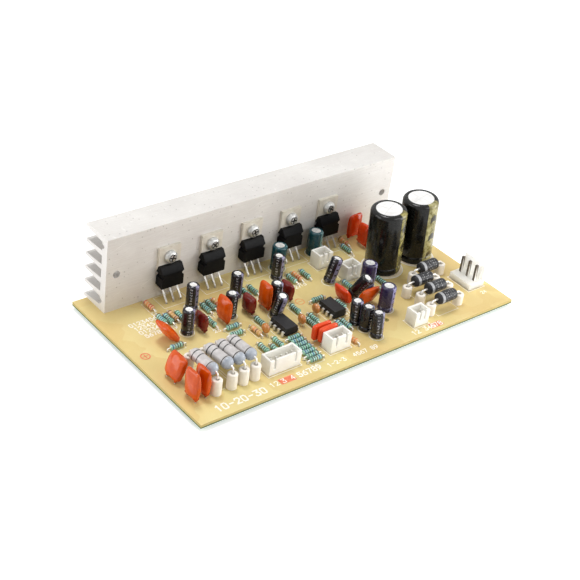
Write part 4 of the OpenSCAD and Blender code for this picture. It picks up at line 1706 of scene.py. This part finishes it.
@dataclass
class SmallDips:
    """The slim upright capacitor pair and the small ceramic discs."""

    lift: float = 0.8
    wire: float = 0.28
    slim: Vector = field(default_factory=lambda: Vector((4.5, 1.05, 3.6)))
    slim_slope: float = 0.9
    slim_lumps: float = 0.1
    sharp: float = 60.0
    disc_radius: float = 2.1
    disc_half: float = 1.1
    disc_steps: int = 12
    disc_blunt: float = 0.6

    def build(self) -> None:
        """Makes the slim pair and the discs."""
        self.build_node("slim_capacitors", "film_orange", self.slim_body)
        self.build_node("ceramic_discs", "disc_ochre", self.disc_body)

    def build_node(self, name: str, slot: str, body: Callable[[Piece, Vector, Vector], None]) -> None:
        """Makes one dipped body and two leads for every solid of a node.

        Args:
            name: The node's name.
            slot: The record's material slot.
            body: Adds the body, given the piece, the middle of the foot and the direction of the leads.
        """
        piece = Piece(f"{name}_dipped")
        for island in CadNode(name).islands():
            left, right = lead_tips(island)
            foot = (left + right) / 2 + Vector((0, 0, BOARD_TOP + self.lift))
            body(piece, foot, (right - left).normalized())
            for tip in (left, right):
                piece.straight_lead(tip, BOARD_TOP + self.lift + 1.0, self.wire)
        piece.build(slot, [name], self.sharp)

    def slim_body(self, piece: Piece, foot: Vector, way: Vector) -> None:
        """Adds a slim slab with a flat rounded top."""
        piece.place(upright(foot, Vector((0, 0, 1)), math.degrees(math.atan2(way.y, way.x))))
        piece.pillow(self.slim, self.slim_slope, self.slim_lumps, SLIM_DIP)

    def disc_body(self, piece: Piece, foot: Vector, way: Vector) -> None:
        """Adds a lens-shaped disc on edge.

        Args:
            piece: The piece to add it to.
            foot: Middle of its foot.
            way: Direction from lead to lead.
        """
        across = Vector((0, 0, 1)).cross(way)
        piece.place(upright(foot + Vector((0, 0, self.disc_radius)), across, 0 if abs(way.x) > 0.7 else 90))
        stations = []
        for step in range(self.disc_steps + 1):
            turn = -math.pi / 2 + math.pi * step / self.disc_steps
            radius = self.disc_radius * max(math.cos(turn), 0.0) ** self.disc_blunt
            stations.append((radius, self.disc_half * math.sin(turn), OCHRE_DIP))
        stations[0] = (0, -self.disc_half, OCHRE_DIP)
        stations[-1] = (0, self.disc_half, OCHRE_DIP)
        piece.lathe(stations, 32)


@dataclass
class Axial:
    """A lying component: a turned body between two leads that bend down through the board."""

    diameter: float
    length: float
    wire: float
    bend: float
    inset: ClassVar[float] = 0.3

    def axis(self, points: np.ndarray, tips: Sequence[Vector]) -> tuple[Vector, Vector]:
        """Finds where the body lies.

        Args:
            points: The solid's points.
            tips: The lead tips, from the body's start to its end.

        Returns:
            The body's middle and its direction.
        """
        first, last = tips
        middle = (first + last) / 2
        middle.z = float(points[:, 2].max()) - self.diameter / 2
        return middle, (last - first).normalized()

    def leads(self, piece: Piece, middle: Vector, way: Vector, tips: list[Vector]) -> None:
        """Adds the two bent leads and their solder fillets.

        Args:
            piece: The piece to add them to.
            middle: The body's middle.
            way: The body's direction.
            tips: The lead tips.
        """
        for tip, sign in zip(tips, (-1, 1)):
            out = way * sign
            corner = Vector((tip.x, tip.y, middle.z))
            turn = corner - out * self.bend - Vector((0, 0, self.bend))
            arc = [
                turn + self.bend * (out * math.sin(a) + Vector((0, 0, math.cos(a))))
                for a in (math.radians(15 * k) for k in range(7))
            ]
            piece.place(Matrix())
            start = middle + out * (self.length / 2 - self.inset)
            piece.tube([start, *arc, Vector((tip.x, tip.y, 0))], self.wire, TIN)
            piece.solder(tip, self.wire)

    def lay(self, piece: Piece, middle: Vector, way: Vector) -> None:
        """Places the piece's next component along the body's direction.

        Args:
            piece: The piece.
            middle: The body's middle.
            way: The body's direction.
        """
        up = Vector((0, 0, 1))
        turned = Matrix((up, way.cross(up), way)).transposed().to_4x4()
        piece.place(Matrix.Translation(middle) @ turned)


@dataclass
class SmallResistors(Axial):
    """Small resistors with swollen ends and painted value rings."""

    node: str = ""
    slot: str = ""
    coat: Finish = METAL_FILM
    rings: int = 5
    colours: tuple[Band, ...] = tuple(Band)
    ring: float = 0.5
    margin: float = 0.85
    neck: float = 0.84
    bulb: float = 2.1
    dome: float = 0.75
    slices: int = 26

    def profile(self, choice: Sequence[Band]) -> list[Station]:
        """Gives the body's outline with its rings.

        Args:
            choice: Ring colours in order.

        Returns:
            Stations for the lathe.
        """
        r, half, ring = self.diameter / 2, self.length / 2, self.ring
        neck = r * self.neck

        def radius(z: float) -> float:
            """Swells towards both ends and closes over them.

            Args:
                z: Place along the body.

            Returns:
                The body's radius there.
            """
            end = half - abs(z)
            share = 0.5 - 0.5 * math.cos(math.pi * min(1, max(0, self.bulb - end)))
            swell = neck + (r - neck) * share
            return swell * min(1.0, max(0.0, 1 - (1 - min(1, end / self.dome)) ** 2)) ** 0.5

        gap = (self.length - 2 * self.margin) / (self.rings - 1)
        starts = [-half + self.margin + gap * i - ring / 2 for i in range(self.rings)]
        even = [-half + self.length * i / self.slices for i in range(1, self.slices)]
        cuts = sorted({round(z, 3) for z in (*even, *starts, *(start + ring for start in starts))})
        out: list[Station] = [(0, -half, self.coat)]
        for z in cuts:
            hit = [band for start, band in zip(starts, choice) if start - 0.001 <= z < start + ring - 0.001]
            out.append((radius(z), z, hit[0].finish() if hit else self.coat))
        return [*out, (0, half, self.coat)]

    def build(self) -> None:
        """Makes every resistor of the node."""
        piece = Piece(f"{self.node}_ringed")
        for island in CadNode(self.node).islands():
            tips = lead_tips(island)
            middle, way = self.axis(island, tips)
            self.lay(piece, middle, way)
            choice = [piece.random.choice(self.colours) for _ in range(self.rings)]
            piece.lathe(self.profile(choice), 20)
            self.leads(piece, middle, way, tips)
        piece.build(self.slot, [self.node], 55)


@dataclass
class Raised(Axial):
    """A family of lying components that stand on beads, each a piece of its own."""

    family: str
    ending: str
    slot: str
    sharp: float
    count: int = 4

    def profile(self) -> list[Station]:
        """Gives the body's outline as stations for the lathe."""
        raise NotImplementedError

    def ends(self, node: CadNode) -> list[Vector]:
        """Gives the lead tips from the body's start to its end."""
        return node.tips()

    def build(self) -> None:
        """Makes every component of the family where its solid lies."""
        for number in range(1, self.count + 1):
            node = CadNode(f"{self.family}_{number}")
            piece = Piece(f"{node.name}_{self.ending}")
            tips = self.ends(node)
            middle, way = self.axis(node.points, tips)
            self.lay(piece, middle, way)
            piece.lathe(self.profile(), 40)
            self.leads(piece, middle, way, tips)
            piece.build(self.slot, [node.name], self.sharp)


class PowerResistors(Raised):
    """Grey power resistors with thin black rings and paler ends."""

    def ends(self, node: CadNode) -> list[Vector]:
        """Gives the lead tips from front to back."""
        return sorted(node.tips(), key=lambda tip: tip.y)

    def profile(self) -> list[Station]:
        """Gives the body's outline with its rings.

        Returns:
            Stations for the lathe.
        """
        r, half = self.diameter / 2, self.length / 2
        black = Band.BLACK.finish()
        neck = r * 0.93
        dome = self.diameter * 0.44
        cap = [(math.radians(d), 1 - math.cos(math.radians(d))) for d in (20, 38, 56, 73, 90)]
        stations = [(0, -half, BLUE_GREY)]
        stations += [(r * math.sin(turn), -half + dome * back, BLUE_GREY) for turn, back in cap]
        stations += [
            (r, -half + 2.5, GREY_LACQUER), (r * 0.985, -half + 2.8, black),
            (r * 0.97, -half + 3.3, GREY_LACQUER), (neck, -half + 3.8, GREY_LACQUER),
            (neck, 0.0, GREY_LACQUER), (neck, half - 5.7, black),
            (neck, half - 5.2, GREY_LACQUER), (neck, half - 3.8, GREY_LACQUER),
            (r * 0.97, half - 3.2, black), (r * 0.985, half - 2.7, GREY_LACQUER),
        ]
        stations += [(r * math.sin(turn), half - dome * back, GREY_LACQUER) for turn, back in reversed(cap)]
        return [*stations, (0, half, GREY_LACQUER)]


class Rectifiers(Raised):
    """Black rectifiers with a silver band at one end."""

    def profile(self) -> list[Station]:
        """Gives the body's outline with its band.

        Returns:
            Stations for the lathe.
        """
        r, half = self.diameter / 2, self.length / 2
        return [
            (0, -half, RECTIFIER), (r * 0.66, -half, RECTIFIER), (r * 0.8, -half + 0.08, RECTIFIER),
            (r * 0.92, -half + 0.4, RECTIFIER), (r * 0.975, -half + 0.9, SILVER_BAND),
            (r, -half + 1.4, SILVER_BAND), (r, -half + 2.2, RECTIFIER),
            (r, 0, RECTIFIER), (r, half - 1.4, RECTIFIER),
            (r * 0.975, half - 0.9, RECTIFIER), (r * 0.92, half - 0.4, RECTIFIER),
            (r * 0.8, half - 0.08, RECTIFIER), (r * 0.66, half, RECTIFIER), (0, half, RECTIFIER),
        ]


@dataclass
class Mouldings:
    """The connectors, the preamplifier chips and the spacer beads."""

    signal: tuple[str, ...] = (
        "speaker_connector", "audio_connector", "fan_connector", "aux_connector_1", "aux_connector_2"
    )
    pin_half: float = 0.4
    supply_pin_half: float = 0.62
    floor: float = 1.4
    supply_floor: float = 3.0
    dip_width: float = 6.3
    dip_pins: float = 3.3
    shell_edge: float = 0.12
    bead_edge: float = 0.15
    dip_edge: float = 0.06
    slack: float = 0.01

    def build(self) -> None:
        """Dresses every moulding."""
        for name in self.signal:
            self.dress_connector(name, NYLON, PIN_TIN, self.pin_half, self.floor, "connector_white")
        self.dress_connector(
            "supply_connector", MILKY, BRASS, self.supply_pin_half, self.supply_floor, "connector_clear"
        )
        Dresser.dress("spacer_beads", lambda middle, normal: BEAD, self.bead_edge, "bead")
        for number in (1, 2):
            self.dress_preamp(CadNode(f"preamp_chip_{number}"))

    def dress_connector(
        self, name: str, shell: Finish, pin: Finish, half: float, floor: float, slot: str
    ) -> None:
        """Splits a connector into its shell and its pins.

        Args:
            name: The node's name.
            shell: Finish of the shell.
            pin: Finish of the pins.
            half: How far a pin's faces lie from its middle at most.
            floor: Height of the shell's floor over the board.
            slot: The record's material slot.
        """
        tips = CadNode(name).tips()

        def choose(middle: Vector, normal: Vector) -> Finish:
            """Picks solder, pin or shell by place.

            Args:
                middle: The face's middle.
                normal: Its normal.

            Returns:
                Its finish.
            """
            if middle.z < BOARD_BOTTOM:
                return SOLDER if abs(normal.z) > 0.1 and middle.z > 0.1 else pin
            near = any(max(abs(middle.x - t.x), abs(middle.y - t.y)) < half for t in tips)
            above = middle.z > BOARD_TOP + floor + self.slack
            below = middle.z < BOARD_TOP - self.slack
            return pin if near and (above or below) else shell

        Dresser.dress(name, choose, self.shell_edge, slot)

    def dress_preamp(self, node: CadNode) -> None:
        """Splits a preamplifier chip into its mould and its pins.

        Args:
            node: The chip's solid.
        """
        centre = (node.low[0] + node.high[0]) / 2

        def choose(middle: Vector, normal: Vector) -> Finish:
            """Picks solder, pin or mould by place.

            Args:
                middle: The face's middle.
                normal: Its normal.

            Returns:
                Its finish.
            """
            if middle.z < BOARD_BOTTOM:
                return SOLDER if abs(normal.z) > 0.1 and middle.z > 0.1 else PIN_TIN
            away = abs(middle.x - centre)
            beside = away > self.dip_width / 2 - self.slack and abs(normal.x) < 0.999
            return PIN_TIN if beside or away > self.dip_pins else PREAMP

        Dresser.dress(node.name, choose, self.dip_edge, "chip_black")


@dataclass(frozen=True)
class Softbox:
    """A square lamp; lengths in millimetres, power in watts."""

    name: str
    spot: tuple[float, float, float]
    aim: tuple[float, float, float]
    size: float
    power: float

    def build(self) -> None:
        """Hangs the lamp at its spot, facing its aim."""
        data = bpy.data.lights.new(self.name, "AREA")
        data.size = self.size * MM
        data.energy = self.power
        lamp = bpy.data.objects.new(self.name, data)
        lamp.location = Vector(self.spot) * MM
        lamp.rotation_mode = "QUATERNION"
        lamp.rotation_quaternion = (Vector(self.aim) - Vector(self.spot)).to_track_quat("-Z", "Y")
        bpy.context.scene.collection.objects.link(lamp)


@dataclass
class Studio:
    """The pale floor, the soft lamps and the camera."""

    lens: float = 81.83
    spot: tuple[float, float, float] = (-306.71, -318.54, 299.22)
    azimuth: float = 43.40
    elevation: float = 33.47
    roll: float = 8.31
    sensor: float = 36.0
    clip: tuple[float, float] = (0.01, 50.0)
    ambient: float = 0.42
    floor_half: float = 4.0
    floor_shade: float = 0.8
    clear: float = 250.0
    far: float = 1200.0
    near_glow: float = 0.4
    far_glow: float = 0.7
    lamps: tuple[Softbox, ...] = (
        Softbox("Overhead softbox", (30, 250, 900), (0, 0, 0), 240, 3.9),
        Softbox("Front softbox", (250, -850, 560), (0, 0, 0), 600, 3.5),
        Softbox("Right softbox", (260, -170, 36), (75, 28, 20), 200, 0.85),
        Softbox("Left softbox", (-330, 120, 110), (-80, 20, 10), 240, 0.6),
        Softbox("Small lamp", (650, -50, 700), (0, 0, 0), 110, 0.5),
    )

    def build(self) -> None:
        """Makes the floor, the world, the lamps and the camera."""
        self.build_floor()
        self.build_world()
        for lamp in self.lamps:
            lamp.build()
        self.build_camera()
        bpy.context.scene.view_settings.view_transform = "Standard"

    @staticmethod
    def seen(net: Net) -> Socket:
        """Masks the rays that show the white ground: straight, mirrored or through something clear.

        Args:
            net: The node tree that the mask is for.

        Returns:
            The mask's socket.
        """
        path = net.node("LightPath")
        shown = net.math("MAXIMUM", path.outputs["Is Camera Ray"], path.outputs["Is Glossy Ray"])
        return net.math("MAXIMUM", shown, path.outputs["Is Transmission Ray"])

    def build_floor(self) -> None:
        """Lays a wide pale floor under the lowest lead tips."""
        half, shade = self.floor_half, self.floor_shade
        mesh = bpy.data.meshes.new("floor")
        corners = [(-half, -half, 0), (half, -half, 0), (half, half, 0), (-half, half, 0)]
        mesh.from_pydata(corners, [], [(0, 1, 2, 3)])
        material = bpy.data.materials.new("Pale floor")
        material.use_nodes = True
        net = Surface(material, Coordinate.FRAME)
        net.set(Base_Color=(shade, shade, shade, 1.0), Roughness=0.9)
        lit = net.node("Emission")
        lit.inputs["Color"].default_value = (1.0, 1.0, 1.0, 1.0)
        away = net.vector("LENGTH", net.place)
        glow = net.remap(away, self.clear, self.far, self.near_glow, self.far_glow)
        net.feed(lit.inputs["Strength"], net.math("MULTIPLY", self.seen(net), glow))
        both = net.node("AddShader")
        net.feed(both.inputs[0], net.shader.outputs[0])
        net.feed(both.inputs[1], lit.outputs[0])
        target = next(n for n in net.tree.nodes if n.type == "OUTPUT_MATERIAL")
        net.feed(target.inputs["Surface"], both.outputs[0])
        mesh.materials.append(material)
        floor = bpy.data.objects.new("floor", mesh)
        bpy.context.scene.collection.objects.link(floor)

    def build_world(self) -> None:
        """Fills the world with even pale light."""
        world = bpy.data.worlds.new("Studio")
        world.use_nodes = True
        net = Net(world.node_tree)
        ground = world.node_tree.nodes["Background"]
        ground.inputs["Color"].default_value = (1.0, 1.0, 1.0, 1.0)
        net.feed(ground.inputs["Strength"], net.remap(self.seen(net), 0.0, 1.0, self.ambient, 1.0))
        bpy.context.scene.world = world

    def build_camera(self) -> None:
        """Sets the camera at the photograph's angle."""
        turn, tilt, roll = (math.radians(a) for a in (self.azimuth, self.elevation, self.roll))
        ahead = Vector((math.sin(turn) * math.cos(tilt), math.cos(turn) * math.cos(tilt), -math.sin(tilt)))
        level = Vector((math.cos(turn), -math.sin(turn), 0))
        above = level.cross(ahead)
        right = level * math.cos(roll) + above * math.sin(roll)
        up = right.cross(ahead)
        data = bpy.data.cameras.new("camera")
        data.lens = self.lens
        data.sensor_width = self.sensor
        data.clip_start, data.clip_end = self.clip
        camera = bpy.data.objects.new("camera", data)
        turned = Matrix((right, up, -ahead)).transposed().to_4x4()
        camera.matrix_world = Matrix.Translation(Vector(self.spot) * MM) @ turned
        bpy.context.scene.collection.objects.link(camera)
        bpy.context.scene.camera = camera


def main() -> None:
    """Builds every sub-assembly in order."""
    logging.basicConfig(level=logging.INFO, format="%(message)s")
    assemblies = [
        Studio(),
        Board(),
        Heatsink(),
        Can("filter_capacitor", 2, 15.5, 29.0, 0.4, 2.1,
            {0: FILTER_SLEEVE, 1: DIM_SLEEVE}, {0: "sleeve_black"}, (-80.0, -66.0)),
        Can("signal_capacitor", 12, 5.0, 11.0, 0.28, 1.0, {0: BLACK_SLEEVE}, {0: "sleeve_black"}),
        Can("coupling_capacitor", 4, 6.3, 11.5, 0.28, 1.12,
            {0: VIOLET_SLEEVE, 3: TEAL_SLEEVE, 4: TEAL_SLEEVE},
            {0: "sleeve_violet", 3: "sleeve_teal", 4: "sleeve_teal"}),
        FilmCapacitors(),
        SmallDips(),
        PowerResistors(5.0, 14.2, 0.4, 1.0, "power_resistor", "ringed", "resistor_grey", 55.0),
        Rectifiers(5.0, 9.5, 0.4, 1.0, "rectifier", "banded", "diode_black", 50.0),
        SmallResistors(2.2, 6.0, 0.28, 0.6, "metal_film_resistors", "resistor_teal", METAL_FILM, 5,
                       (Band.BLACK, Band.BLACK, Band.BLACK, Band.BROWN, Band.BLUE, Band.GREEN)),
        SmallResistors(2.2, 6.0, 0.28, 0.6, "carbon_resistors", "resistor_tan", CARBON_FILM, 4,
                       (Band.RED, Band.BROWN, Band.ORANGE, Band.GOLD)),
        Mouldings(),
    ]
    for assembly in assemblies:
        assembly.build()


if __name__ == "__main__":
    main()
